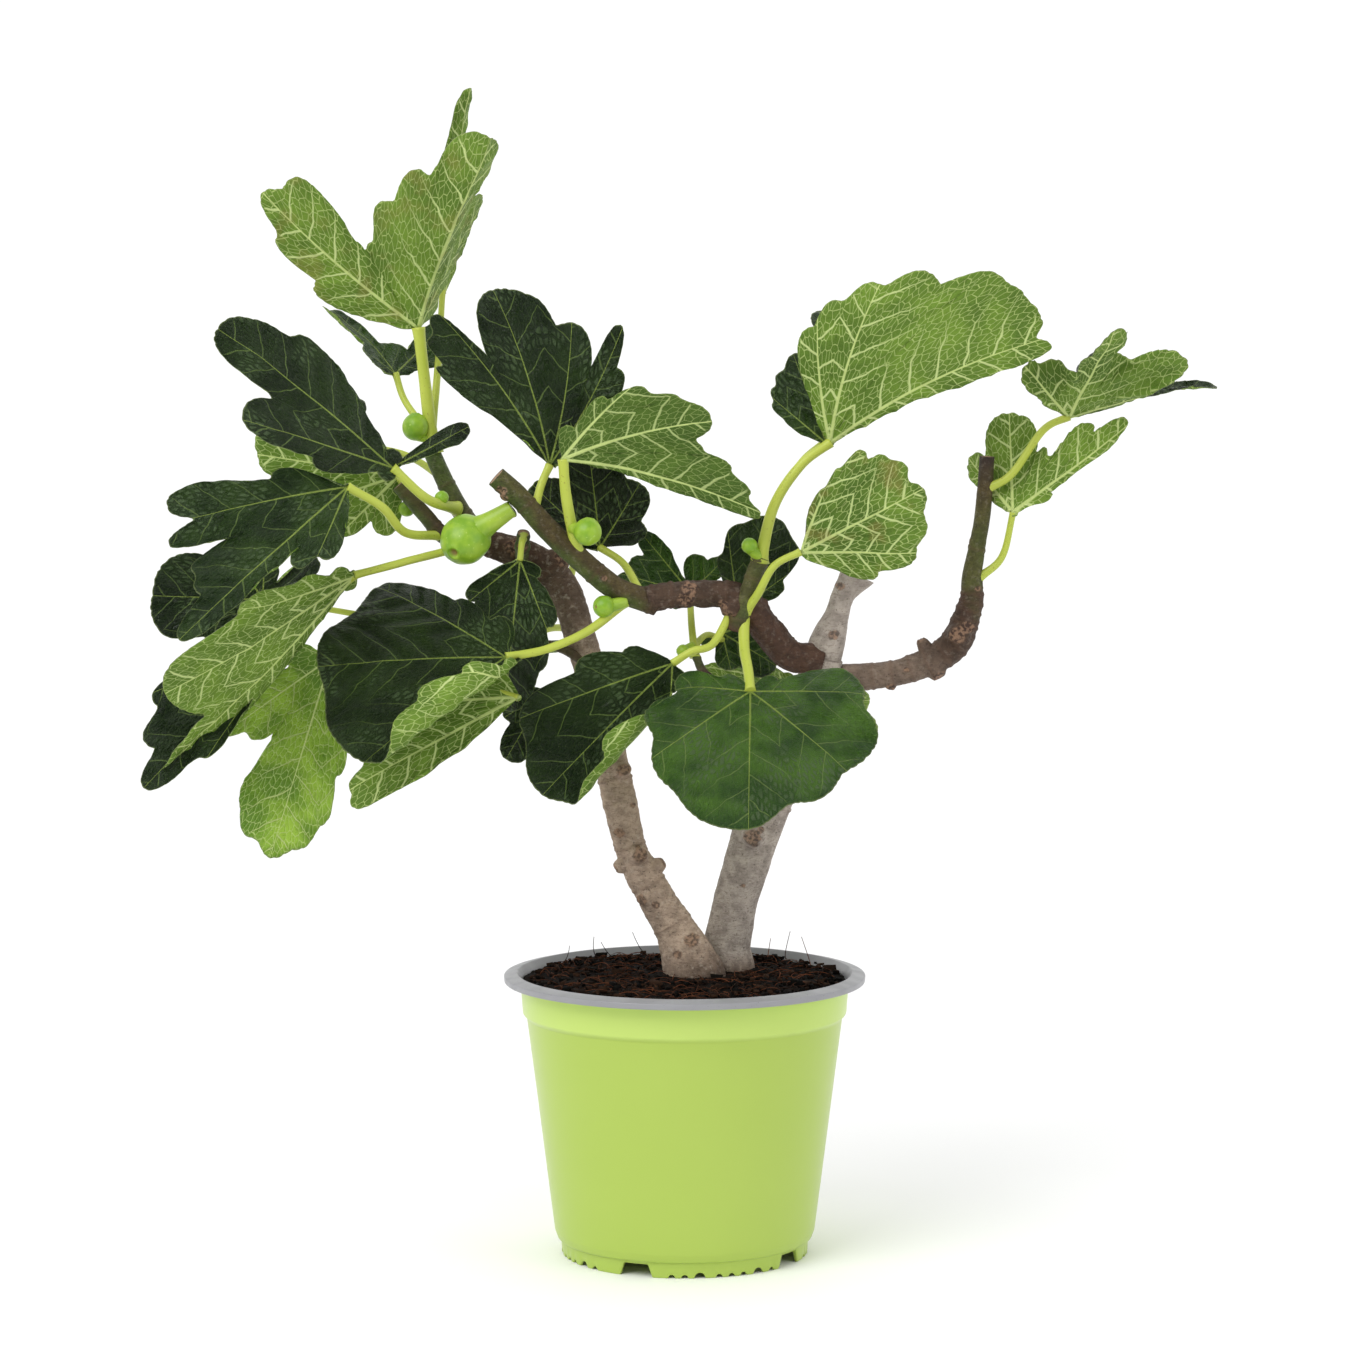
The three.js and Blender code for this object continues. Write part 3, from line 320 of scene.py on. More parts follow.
MASSES = {
  "leaves_top_left": [
    dict(veins=[0, -68, 34], tone=0.35, crumple=2, blush=0.25, base=[-153, 5, 538], tip=[-110, -25, 641],
      face=[-0.1, 1, 0.1], fold=[70, 0], curl=[30, -6], droop=-14, sweep=6,
      lobes=[[2, 1.03, 18], [-7, 1, 11], [-20, 0.82, 12], [-33, 0.68, 13], [-45, 0.5, 14], [-60, 0.99, 10],
        [-68, 1.03, 8], [-75, 0.84, 8], [-84, 0.56, 12], [30, 0.76, 32], [66, 0.28, 34]],
      stalk=[[-145, 8, 466, 4.7], [-149, 6, 502, 4], [-153, 5, 538, 3.7]]),
    dict(veins=[0], tone=0.3, base=[-140, 40, 559], tip=[-124, 26, 675], face=[-0.8, 0.6, 0.1], fold=[20, 20],
      droop=6,
      lobes=[[0, 1, 8], [0, 0.78, 13], [30, 0.22, 30], [-30, 0.22, 30]],
      stalk=[[-146, 9, 474, 2.8], [-143, 30, 519, 2.4], [-141, 40, 559, 2]]),
    dict(veins=[0, 48, -66], tone=0.3, base=[-168, 30, 511], tip=[-207, 60, 547], face=[0.5, -0.4, 1],
      fold=[14, 14], droop=20,
      lobes=[[0, 1, 13], [12, 0.98, 14], [-66, 0.95, 13], [-84, 0.7, 12], [0, 0.42, 110]],
      stalk=[[-147, 9, 476, 2.6], [-162, 24, 495, 2.4], [-168, 30, 511, 2.2]]),
  ],
  "leaf_left_upper": [
    dict(veins=[-3, 21, -118], quilt=0.9, crumple=2, base=[-166, -30, 459], tip=[-264, -62, 534],
      face=[0.25, -1, 0.5], fold=[4, 4], droop=14,
      lobes=[[-3, 1, 14], [-10, 0.85, 9], [-17, 0.73, 11], [18, 0.76, 15], [31, 0.42, 16],
        [-118, 0.45, 11], [0, 0.09, 150]],
      stalk=[[-131, -1, 434, 3.6], [-147, -23, 441, 3.2], [-166, -30, 459, 2.9]]),
  ],
  "leaf_left_behind": [
    dict(veins=[2, -52, -25], base=[-165, 6, 453], tip=[-246, 8, 462], face=[0, 1, 0.1], droop=-8,
      lobes=[[0, 1, 14], [10, 1.05, 14], [-50, 0.63, 18], [-80, 0.46, 24], [-25, 0.5, 24]],
      stalk=[[-149, -10, 430, 2.5], [-158, 2, 440, 2.4], [-165, 6, 453, 2.3]]),
  ],
  "leaf_left_front": [
    dict(veins=[-6, 25, 46], crumple=2.2, tone=0.2, base=[-190, -50, 449], tip=[-283, -92, 420],
      face=[-0.1, -1, 0.4], fold=[10, 10], droop=16,
      lobes=[[0, 1.03, 8], [-12, 0.98, 11], [-24, 0.42, 14], [12, 1.01, 7], [18, 1.07, 7], [25, 1.32, 7],
        [38, 0.62, 11], [50, 0.5, 15]],
      stalk=[[-139, -8, 419, 3], [-159, -28, 422, 2.9], [-171, -42, 437, 2.9], [-190, -50, 449, 2.6]]),
  ],
  "leaves_left_lower": [
    dict(veins=[0, -21, 24], tone=0.3, crumple=2, base=[-188, -34, 398], tip=[-292, -66, 333],
      face=[-0.45, 0.5, 0.75], fold=[6, -10], droop=-10,
      lobes=[[0, 1, 22], [-22, 1.24, 8], [22, 0.6, 26], [-14, 0.9, 14], [50, 0.16, 30], [-60, 0.1, 40]],
      stalk=[[-98, -31, 434, 2.7], [-124, -14, 415, 2.7], [-160, -25, 405, 2.6], [-188, -34, 398, 2.4]]),
    dict(veins=[0, -24, 10], crumple=1.6, base=[-226, -12, 360], tip=[-306, -30, 279], face=[0.05, -1, 0.3],
      droop=14,
      lobes=[[0, 1.04, 9], [-10, 0.89, 11], [-21, 0.75, 11], [-31, 0.6, 9], [8, 0.74, 8], [-50, 0.38, 28]],
      stalk=[[-188, -34, 398, 2.2], [-209, -24, 378, 2], [-226, -12, 360, 1.8]]),
  ],
  "leaves_left_shade": [
    dict(veins=[-4, -60, 34, -95], quilt=1.1, base=[-244, 6, 381], tip=[-305, -10, 380],
      face=[0.05, -1, 0.25], fold=[6, 6], droop=10,
      lobes=[[-8, 1.01, 40], [10, 1, 24], [-60, 0.64, 34], [32, 0.66, 30], [-95, 0.4, 40], [90, 0.4, 40],
        [-146, 0.66, 16]],
      stalk=[[-96, 1, 358, 2.5], [-152, -4, 365, 2.2], [-192, -4, 374, 2], [-244, 6, 381, 1.8]]),
    dict(veins=[0, -37, 24], tone=1, quilt=0.9, crumple=2.2, base=[-206, 20, 346], tip=[-238, -10, 237],
      face=[0.1, -1, 0.3], droop=12,
      lobes=[[0, 1.04, 9], [-8, 0.98, 9], [-14, 0.86, 7], [-28, 0.57, 12], [-37, 0.66, 8], [-48, 0.43, 13],
        [7, 0.97, 8], [13, 0.84, 8], [20, 0.6, 8], [32, 0.42, 20], [0, 0.5, 34], [-78, 0.28, 26]],
      stalk=[[-96, 1, 358, 2.5], [-146, 4, 352, 2.2], [-180, 12, 348, 2], [-206, 20, 346, 2]]),
    dict(veins=[4, 31], tone=0.3, base=[-95, -34, 328], tip=[-185, -54, 272], face=[0.1, 1, -0.3],
      fold=[6, 4], droop=-8,
      lobes=[[-1, 1.04, 6], [4, 1.01, 8], [11, 0.88, 12], [30, 0.8, 26], [-4, 0.8, 6], [-5, 0.5, 10],
        [60, 0.4, 40]],
      stalk=[[-106, 1, 358, 2.3], [-140, -8, 350, 2.2], [-124, -25, 338, 2], [-95, -34, 328, 2]]),
  ],
  "leaf_centre_front": [
    dict(veins=[0, -40, -80, 40], quilt=1.5, crumple=1.6, base=[-101, -53, 353], tip=[-174, -97, 302],
      face=[-0.35, -1, 0.6], fold=[8, 4], crease=0.06, curl=[900, -14], droop=10,
      lobes=[[-14, 1.1, 34], [-46, 1.08, 32], [-76, 0.97, 24], [-98, 0.54, 16], [-122, 0.3, 30],
        [4, 0.95, 18], [14, 0.9, 14], [26, 0.7, 16], [42, 0.44, 18], [64, 0.22, 26], [110, 0.1, 40]],
      stalk=[[-33, -22, 383, 3.2], [-54, -35, 367, 2.9], [-78, -46, 357, 2.7], [-101, -53, 353, 2.6]]),
  ],
  "leaf_centre_hanging": [
    dict(veins=[0, -44, 28], base=[-94, -23, 406], tip=[-104, -10, 315], face=[-0.1, -1, -0.15], fold=[3, -6],
      droop=8,
      lobes=[[0, 0.97, 20], [16, 0.7, 14], [32, 0.46, 17], [-47, 0.42, 16], [-20, 0.6, 24],
        [60, 0.16, 30]],
      stalk=[[-92, -18, 419, 2.4], [-93, -24, 415, 2.1], [-94, -23, 406, 1.8]]),
  ],
  "leaf_trunk": [
    dict(veins=[6, -22, 38], quilt=1, base=[-81, 0, 328], tip=[-107, -8, 292], face=[0.1, -1, 0.3],
      fold=[6, 6],
      lobes=[[8, 1, 24], [-22, 0.62, 20], [-50, 0.25, 30], [40, 0.8, 30]],
      stalk=[[-52, 8, 326, 2.4], [-66, 2, 331, 2.2], [-81, 0, 328, 2]]),
  ],
  "leaf_centre_upper": [
    dict(veins=[4, 22, -21, -40], quilt=1.1, crumple=2.6, base=[-77, -22, 460], tip=[-101, -34, 560],
      face=[0.05, -1, 0.2], droop=10, sweep=8,
      lobes=[[5, 1.02, 17], [-6, 0.94, 12], [-21, 0.8, 17], [-39, 0.87, 7], [-47, 0.66, 11],
        [-58, 0.43, 12], [24, 1.06, 7], [30, 0.98, 6], [36, 0.84, 5]],
      stalk=[[-86, -29, 431, 2.8], [-82, -27, 448, 2.6], [-77, -22, 460, 2.4]]),
  ],
  "leaf_centre_over": [
    dict(veins=[1, 29, -26], tone=-0.8, crumple=1.8, base=[-69, -36, 464], tip=[15, -62, 488],
      face=[0.1, 1, 0.2], fold=[6, 6], droop=-14, sweep=10,
      lobes=[[0, 1, 13], [-9, 0.88, 12], [-20, 0.74, 12], [-32, 0.5, 14], [-55, 0.22, 26], [12, 0.9, 8],
        [19, 1.07, 8], [25, 1.2, 7], [30, 1.29, 5]],
      stalk=[[-61, -27, 409, 3.8], [-67, -35, 441, 3.5], [-69, -36, 464, 3]]),
  ],
  "leaf_centre_back": [
    dict(veins=[0, 38, -36], quilt=0.9, tone=-0.8, base=[-49, 12, 411], tip=[-55, -4, 468],
      face=[0.1, -1, 0.2],
      lobes=[[0, 1, 34], [38, 0.97, 26], [-36, 0.77, 28], [-68, 0.5, 26], [62, 0.62, 20]],
      stalk=[[-25, -18, 386, 2.8], [-35, 0, 402, 2.6], [-49, 12, 411, 2.3]]),
  ],
  "leaves_inner": [
    dict(veins=[0, 36, -84], tone=0.35, base=[3, 22, 384], tip=[-26, 18, 420], face=[-0.2, -1, 0.5],
      fold=[12, 12],
      lobes=[[0, 0.97, 16], [24, 0.88, 20], [40, 0.98, 12], [-84, 0.6, 24], [-50, 0.5, 34], [80, 0.3, 40]],
      stalk=[[6, 1, 348, 2.5], [4, 8, 366, 2.3], [3, 22, 384, 2]]),
    dict(veins=[0, 50, -50], tone=0.3, base=[22, 26, 360], tip=[54, 30, 340], face=[0, -1, 0.4],
      lobes=[[0, 1, 40], [50, 0.7, 40], [-50, 0.6, 40], [-120, 0.4, 40]],
      stalk=[[5, 3, 354, 2.2], [13, 16, 360, 2], [22, 26, 356, 1.8]]),
  ],
  "leaf_node": [
    dict(veins=[-4, 24, -36], tone=0.2, quilt=0.9, base=[31, 14, 375], tip=[48, 2, 432], face=[0.1, -1, 0.2],
      lobes=[[-4, 0.98, 26], [16, 0.86, 18], [-24, 0.86, 16], [-40, 0.52, 18], [32, 0.6, 14]],
      stalk=[[29, -9, 383, 2.4], [30, 6, 372, 2.3], [31, 14, 375, 2]]),
  ],
  "leaves_right_top": [
    dict(veins=[-44, -24, 18], tone=0.25, crumple=1.8, base=[83, -22, 473], tip=[172, -58, 563],
      face=[-0.1, 1, 0], fold=[4, 0], droop=-18, sweep=12,
      lobes=[[0, 1.05, 12], [-13, 0.88, 13], [-25, 0.75, 13], [-37, 0.64, 12], [-48, 0.52, 12],
        [-54, 0.42, 6], [7, 1.05, 8], [13, 1.07, 9], [20, 1.05, 5]],
      stalk=[[43, -16, 405, 4.2], [51, -22, 437, 3.5], [66, -24, 460, 3.2], [83, -22, 473, 2.9]]),
    dict(veins=[5, 36, -20], tone=0.2, base=[81, -20, 472], tip=[66, -8, 524], face=[0.1, -1, 0.2],
      lobes=[[3, 1, 20], [20, 0.88, 12], [31, 0.8, 10], [40, 0.7, 9], [46, 0.5, 9], [-20, 0.8, 20]]),
    dict(base=[112, 32, 514], tip=[124, 82, 554], face=[0, -0.5, 1], fold=[10, 10], droop=16,
      lobes=CUT,
      stalk=[[44, -15, 405, 2.6], [52, -10, 437, 2.3], [67, 0, 461, 2.2], [86, 12, 478, 2.1],
        [112, 32, 514, 2]]),
  ],
  "leaf_right_middle": [
    dict(veins=[-10, 30, 58], tone=-0.1, blush=0.4, crumple=2, base=[66, -28, 411], tip=[100, -46, 468],
      face=[0.1, 1, 0], fold=[6, 0], droop=-14,
      lobes=[[0, 1.03, 8], [-7, 0.8, 5], [-11, 0.6, 6], [9, 1.09, 9], [18, 1.16, 11], [31, 1.17, 14],
        [44, 1.09, 16], [58, 0.97, 16], [74, 0.67, 19]],
      stalk=[[35, -15, 376, 2.9], [42, -24, 387, 2.9], [51, -28, 403, 2.6], [66, -28, 411, 2.3]]),
  ],
  "leaf_right_far": [
    dict(veins=[0, -54, -99], tone=-0.2, crumple=3.4, tooth=(6, 2.4), base=[221, 2, 487], tip=[302, -26, 505],
      face=[0.1, 0.5, 1], fold=[24, 10], droop=12, ripple=[0.09, 7],
      lobes=[[0, 1, 9], [-23, 0.98, 11], [-54, 0.95, 15], [-99, 0.57, 13], [-40, 0.6, 74], [14, 0.5, 16]],
      stalk=[[173, 3, 445, 2.7], [188, 0, 454, 2.6], [206, 2, 479, 2.5], [221, 2, 487, 2.3]]),
  ],
  "leaf_right_low": [
    dict(veins=[-4, -64, -100], tone=0.6, crumple=2.6, tooth=(6, 1.8), base=[189, 0, 432],
      tip=[257, -20, 479], face=[0, 0.9, -0.4], fold=[10, 6], droop=10, ripple=[0.05, 6],
      lobes=[[-6, 1, 7.5], [-16, 0.8, 11], [-33, 0.5, 14], [-64, 0.7, 27], [-98, 0.54, 18], [4, 0.3, 6]],
      stalk=[[169, 6, 393, 2.7], [183, 4, 406, 2.4], [189, 0, 432, 2]]),
  ],
  "leaf_front_left": [
    dict(veins=[-2, -28, 40], quilt=1, base=[-7, -26, 347], tip=[-76, -52, 274], face=[-0.3, -1, 0.15],
      fold=[10, 4], crease=0.1, curl=[800, 0],
      lobes=[[-4, 1.03, 24], [-24, 0.91, 20], [-42, 0.54, 20], [-60, 0.28, 22], [12, 0.95, 12],
        [24, 0.72, 17], [60, 0.22, 30]],
      stalk=[[27, -12, 376, 2.7], [16, -24, 358, 2.6], [4, -27, 354, 2.5], [-7, -26, 347, 2.3]]),
  ],
  "leaf_front": [
    dict(veins=[0, -46, 44, -92, 88], tone=0.42, crumple=1.6, quilt=0.7, base=[37, -58, 334],
      tip=[35, -122, 264], face=[0, -1, 1.1], fold=[4, 4], curl=[-10, -10], droop=16,
      lobes=[[-6, 1.01, 34], [-30, 0.87, 34], [-62, 0.68, 32], [-98, 0.46, 22], [26, 0.9, 26],
        [56, 0.85, 34], [88, 0.68, 26], [105, 0.6, 14], [-120, 0.2, 30], [125, 0.2, 30]],
      stalk=[[34, -11, 375, 3.8], [34, -26, 356, 3.6], [36, -44, 344, 3.4], [37, -58, 334, 3.2]]),
  ],
  "leaf_back_left": [
    dict(base=[-102, 52, 352], tip=[-154, 98, 318], face=[-0.3, 0.8, 0.9], fold=[10, 10], droop=20,
      lobes=CUT,
      stalk=[[-58, 14, 362, 2.8], [-78, 38, 362, 2.4], [-102, 52, 352, 2.2]]),
  ],
  "leaf_back_top": [
    dict(base=[-44, 50, 464], tip=[-56, 96, 490], face=[0, -0.4, 1], droop=16,
      lobes=WHOLE,
      stalk=[[-68, 14, 388, 2.8], [-60, 40, 416, 2.4], [-48, 49, 445, 2.3], [-44, 50, 464, 2.2]]),
  ],
  "leaf_back_low": [
    dict(base=[64, 62, 318], tip=[40, 112, 266], face=[0.1, 0.9, 0.7], droop=18,
      lobes=WHOLE,
      stalk=[[66, 16, 307, 2.8], [68, 40, 317, 2.4], [64, 62, 318, 2.2]]),
  ],
  "leaf_back_upper": [
    dict(base=[-204, 46, 470], tip=[-236, 80, 492], face=[0, -0.3, 1], droop=16,
      lobes=CUT,
      stalk=[[-136, 6, 449, 2.7], [-164, 34, 464, 2.4], [-204, 46, 470, 2.2]]),
  ],
}
# Figs and buds: centre, radius, axis, length for its width, and the rows of its neck.
FIGS = [
  [[-155, 4, 481], 7.5, [0, 0, 1], 1.05, [[-155, 5, 477, 4], [-147, 8, 474, 3]]],
  [[-139, -13, 441], 4, [0, 0, 1], 1, []],
  [[-160, 0, 434], 4.6, [0, 0, 1], 1, []],
  [[-125, -27, 418], 14.2, [-0.3, -0.6, -0.35], 1.1,
    [[-120, -28, 422, 10], [-112, -30, 427, 6.6], [-98, -31, 436, 4.6]]],
  [[-55, -40, 423], 8, [0.2, 0, 1], 1, [[-56, -39, 423, 4.4], [-64, -32, 425, 3.4]]],
  [[-46, -31, 380], 6.3, [-0.6, -0.5, 0], 1,
    [[-44, -31, 380, 4], [-34, -25, 382, 3.4]]],
  [[37, -22, 414], 4.6, [-0.4, 0, 0.9], 1, [[38, -21, 412, 3.4], [44, -17, 406, 3]]],
  [[-1, -1, 352], 3.8, [-1, 0, 0], 1, [[-1, -1, 352, 2.6], [5, 3, 355, 2.4]]],
]


# ---------------------------------------------------------------- leaves

GRAIN = 1.5  # mm between two points along a blade's margin
ROW_GRAIN = 3.0  # mm between two rows of points, from the base out
BLADE_HALF = 0.32  # half a blade's thickness
PIECES_OF_LEAVES = 6
FOLDED_BACK = math.radians(165)  # the most that a half folds over
SLANT = 0.75  # how steeply the branch veins lie back
BEND = 160  # mm: the less, the more they bend
PHASE_STEP = 0.45  # gaps by which the branch veins of one sector stand off the last one's
GAP_SHARE, GAP_RANGE = 0.18, (7, 18)  # from one branch vein to the next: share of the midrib, and in mm
CENTRE = 0.02  # midribs: what there is of a blade between its lobes
JOINED = 12  # the more, the sharper the corners between two lobes
FULL = 2.4  # the more, the fuller a lobe
DEEPEST = 0.12  # the most that a tooth cuts in, as a share of the reach
WAIST = 0.8  # two veins part at the waist between them where it is this much nearer than their tips
CLEAR = 6  # of 61 places between two veins, those at each end where no waist is sought


def reach(lobes, angle):
    """How far the blade reaches at an angle, in midribs: the lobes run smoothly into each other."""
    total = CENTRE**JOINED
    for at, far, half in lobes:
        off = np.abs((angle - math.radians(at) + math.pi) % TURN - math.pi)
        u = np.minimum(off / math.radians(half), 1)
        total = total + (far * np.sqrt(1 - u**FULL)) ** JOINED
    return total ** (1 / JOINED)


def square(ahead, up):
    """Three unit vectors at right angles: ahead, to the left of it, and as near up as can be."""
    first = unit(np.asarray(ahead, float))
    third = unit(np.asarray(up, float) - first * np.dot(up, first))
    return np.array([first, np.cross(third, first), third])


def bent_blade(leaf, angle, out, share):
    """Points of the folded, curled and bowed blade, and its midrib's length.

    out is in midribs, and share is out's share of the full reach.
    """
    droop = math.radians(leaf["droop"]) + 1e-6
    end = np.array([math.sin(droop) / droop, 0, -(1 - math.cos(droop)) / droop])
    chord = np.subtract(leaf["tip"], leaf["base"])
    size = np.linalg.norm(chord) / np.linalg.norm(end)
    x, y = out * np.cos(angle), out * np.sin(angle)
    left = y > 0
    fold = np.where(left, *[math.radians(v) for v in leaf["fold"]])
    curl = np.where(left, *[math.radians(v) + 1e-6 for v in leaf["curl"]])
    flat = np.minimum(np.abs(y), leaf["crease"])
    rolled = np.minimum(np.abs(y) - flat, np.maximum((FOLDED_BACK - fold) / np.abs(curl), 0))
    tilt = fold + curl * rolled
    rest = np.abs(y) - flat - rolled
    aside = flat * np.cos(fold) + (np.sin(tilt) - np.sin(fold)) / curl + rest * np.cos(tilt)
    aside = aside * np.sign(y)
    wave, waves = leaf["ripple"]
    rise = flat * np.sin(fold) + (np.cos(fold) - np.cos(tilt)) / curl + rest * np.sin(tilt)
    rise = rise + wave * np.sin(waves * angle) * share**3 * np.minimum(1, out * 2)
    turn = droop * x
    ahead = np.sin(turn) / droop + rise * np.sin(turn)
    up = -(1 - np.cos(turn)) / droop + rise * np.cos(turn)
    sweep = math.radians(leaf["sweep"]) * (out - 1)
    forward = ahead * np.cos(sweep) - aside * np.sin(sweep)
    sideways = ahead * np.sin(sweep) + aside * np.cos(sweep)
    local = np.stack([forward, sideways, up], -1) @ square(end, (0, 0, 1)).T
    return np.asarray(leaf["base"], float) + size * local @ square(chord, leaf["face"]), size


def sectors(leaf):
    """The leaf's sectors, one to each side of each main vein: from, to, vein and edge, and phase."""
    lobes = leaf["lobes"]
    veins = sorted(leaf.get("veins") or [at for at, far, half in lobes if far > 0.5 and half < 55])
    edges = [-180]
    for a, b in zip(veins, veins[1:]):
        between = np.linspace(a, b, 61)[CLEAR:-CLEAR]
        far = reach(lobes, np.radians(between))
        shorter = min(reach(lobes, math.radians(a)), reach(lobes, math.radians(b)))
        edges.append(between[far.argmin()] if far.min() < WAIST * shorter else (a + b) / 2)
    edges.append(180)
    out = []
    for n, vein in enumerate(veins):
        for side, start, stop in ((n, edges[n], vein), (n + 1, vein, edges[n + 1])):
            out.append([math.radians(v) for v in (start, stop, vein, edges[side])] + [PHASE_STEP * side])
    return out


def rays_of(leaf, size):
    """Rays at equal steps along the margin, four by four in each sector: angle, vein, edge, phase, arc."""
    rows = []
    gone = 0.0
    for start, stop, main, limit, part in sectors(leaf):
        fine = np.linspace(start, stop, 400)
        far = reach(leaf["lobes"], fine) * size
        steps = np.hypot(np.diff(far * np.cos(fine)), np.diff(far * np.sin(fine)))
        along = np.concatenate([[0], np.cumsum(steps)])
        count = 4 * max(1, round(along[-1] / GRAIN / 4))
        want = np.linspace(0, along[-1], count, endpoint=False)
        rows.append(np.broadcast_arrays(np.interp(want, along, fine), main, limit, part, gone + want))
        gone += along[-1]
    return [np.concatenate(column) for column in zip(*rows)]


def leaf_places(angle, vein, phase, out, size, gap, number):
    """Where points lie in a leaf's net: along the main vein, beside it, and the branch veins' own measure.

    A branch vein leaves its main vein at a slant and bends a little towards the tip.
    """
    off = np.abs((angle - vein + math.pi) % TURN - math.pi)
    beside = np.abs(out * np.sin(off)) * size
    along = out * np.cos(off) * size
    branch = along - beside * (SLANT + beside / BEND) + gap * (phase + 13 * number)
    return along, beside, branch


def blade_rows(rays, rows):
    """Rows of points from the base to the margin, with fewer rays near the base.

    It gives each point's ray and share of the way out, the rows' starts, the triangles and their rays.
    """
    ray, share, starts, step_of = [np.zeros(1, int)], [np.zeros(1)], [], []
    count = 1
    for row in range(1, rows + 1):
        s = row / rows
        step = 4 if s < 0.16 else 2 if s < 0.4 else 1
        starts.append(count)
        step_of.append(step)
        chosen = np.arange(0, rays, step)
        ray.append(chosen)
        share.append(np.full(len(chosen), s))
        count += len(chosen)
    first = np.arange(rays // step_of[0])
    triangles = [np.stack([0 * first, starts[0] + first, starts[0] + (first + 1) % len(first)], 1)]
    cells = [first * step_of[0]]
    for row in range(rows - 1):
        n, m = rays // step_of[row], rays // step_of[row + 1]
        j = np.arange(n)
        a, b = starts[row] + j, starts[row] + (j + 1) % n
        if n == m:
            c, d = starts[row + 1] + j, starts[row + 1] + (j + 1) % n
            fans = [(a, c, d), (a, d, b)]
        else:
            c, d, e = (starts[row + 1] + (2 * j + k) % m for k in range(3))
            fans = [(a, c, d), (a, d, b), (b, d, e)]
        for fan in fans:
            triangles.append(np.stack(fan, 1))
            cells.append(j * step_of[row])
    ray, share, triangles, cells = (np.concatenate(v) for v in (ray, share, triangles, cells))
    return ray, share, starts, triangles, cells


def point_normals(points, triangles):
    a, b, c = (points[triangles[:, n]] for n in range(3))
    facing = np.cross(b - a, c - a)
    normals = np.zeros_like(points)
    for corner in range(3):
        np.add.at(normals, triangles[:, corner], facing)
    return unit(normals)


def grow_blade(piece, leaf, number):
    """One leaf's blade, as the part's own source bends it, with teeth, crumples, and veins on both sides."""
    lobes = leaf["lobes"]
    size = bent_blade(leaf, np.zeros(1), np.zeros(1), np.zeros(1))[1]
    angle, vein, edge, phase, arc = rays_of(leaf, size)
    rays = len(angle)
    far = reach(lobes, angle)
    gap = float(np.clip(size * GAP_SHARE, *GAP_RANGE))
    # The margin's round teeth, and the shallow waves it stands in.
    tooth_step, tooth_depth = leaf["tooth"]
    places = np.stack([arc, np.full(rays, 7.3 * number), np.zeros(rays)], 1)
    worn = arc / tooth_step + 0.5 * noise(places, 9, 3)
    dip = tooth_depth * (0.7 + 0.5 * noise(places, 14, 4)) * (1 - np.abs(np.sin(math.pi * worn)) ** 0.8)
    dip = np.minimum(dip / np.maximum(far * size, 1), DEEPEST)
    swing = 0.9 * noise(places, 12, 5) + 0.5 * noise(places, 5, 6)
    rows = max(6, round(far.max() * size / ROW_GRAIN))
    ray, share, starts, triangles, cells = blade_rows(rays, rows)
    angle_at, vein_at = angle[ray], vein[ray]
    out = far[ray] * share * (1 - dip[ray] * share**8)
    points, _ = bent_blade(leaf, angle_at, out, share)
    normals = point_normals(points, triangles)
    # Relief: puffed between the branch veins, grooved over the main veins above and ridged under them below.
    along, beside, branch = leaf_places(angle_at, vein_at, phase[ray], out, size, gap, number)
    inside = (1 - share) * far[ray] * size
    length = np.maximum(reach(lobes, vein_at) * size, 8)
    taper = np.clip(along / length, 0, 1)
    to_edge = np.abs(out * np.sin(np.clip(np.abs(angle_at - edge[ray]), 0, 1.5))) * size
    near_vein = np.abs((branch / gap + 0.5) % 1 - 0.5) * 2
    quiet = smooth(0, 3, beside) * smooth(0, 5, inside) * smooth(0, 1, to_edge)
    flat = around(out, angle_at, 0.0) * size
    flat[:, 2] = 31 * number
    puff = leaf["quilt"] * near_vein**2 * -1 * quiet
    crumple = leaf["crumple"]
    sway = crumple * share * noise(flat, 24, 7) + 0.35 * crumple * share * noise(flat, 9, 8)
    sway = sway + swing[ray] * (0.4 + 0.5 * crumple) * share**5
    body = np.exp(-np.maximum(along, 0) / 20)
    groove = 0.4 * bell(beside) * (1 - 0.7 * taper)
    ridge = (0.3 * (1 - 0.6 * taper) + 0.9 * body) * bell(beside / (0.8 + 0.9 * body))
    ridge = ridge + 0.22 * bell(near_vein / 0.22) * quiet * (1 - 0.5 * taper)
    half = BLADE_HALF * (0.6 + 0.4 * smooth(0, 6, inside))
    upper = points + normals * (sway + puff - groove + half)[:, None]
    under = points + normals * (sway + puff - ridge - half)[:, None]
    # The triangles of both sides and of the rim between them.
    low = len(points)
    margin = starts[-1] + np.arange(rays)
    after = starts[-1] + (np.arange(rays) + 1) % rays
    rim = [np.stack([margin, margin + low, after + low], 1), np.stack([margin, after + low, after], 1)]
    whole = np.concatenate([triangles, triangles[:, ::-1] + low, *rim])
    cell = np.concatenate([cells, cells, np.arange(rays), np.arange(rays)])
    side = np.repeat([0, 1, 0], [len(triangles), len(triangles), 2 * rays])
    source = whole % low
    main_vein, main_phase = vein[cell][:, None], phase[cell][:, None]
    _, by, measure = leaf_places(angle_at[source], main_vein, main_phase, out[source], size, gap, number)
    sheet = flat[source][..., :2]
    net = np.stack([measure, by], -1)
    values = {"taper": np.tile(taper, 2), "inside": np.tile(inside, 2)}
    values.update(tone=leaf["tone"], gap=gap, blush=leaf["blush"])
    piece.add(np.concatenate([upper, under]), whole, sheet, side, side, values, net)


# ---------------------------------------------------------------- round limbs, stalks and fruit


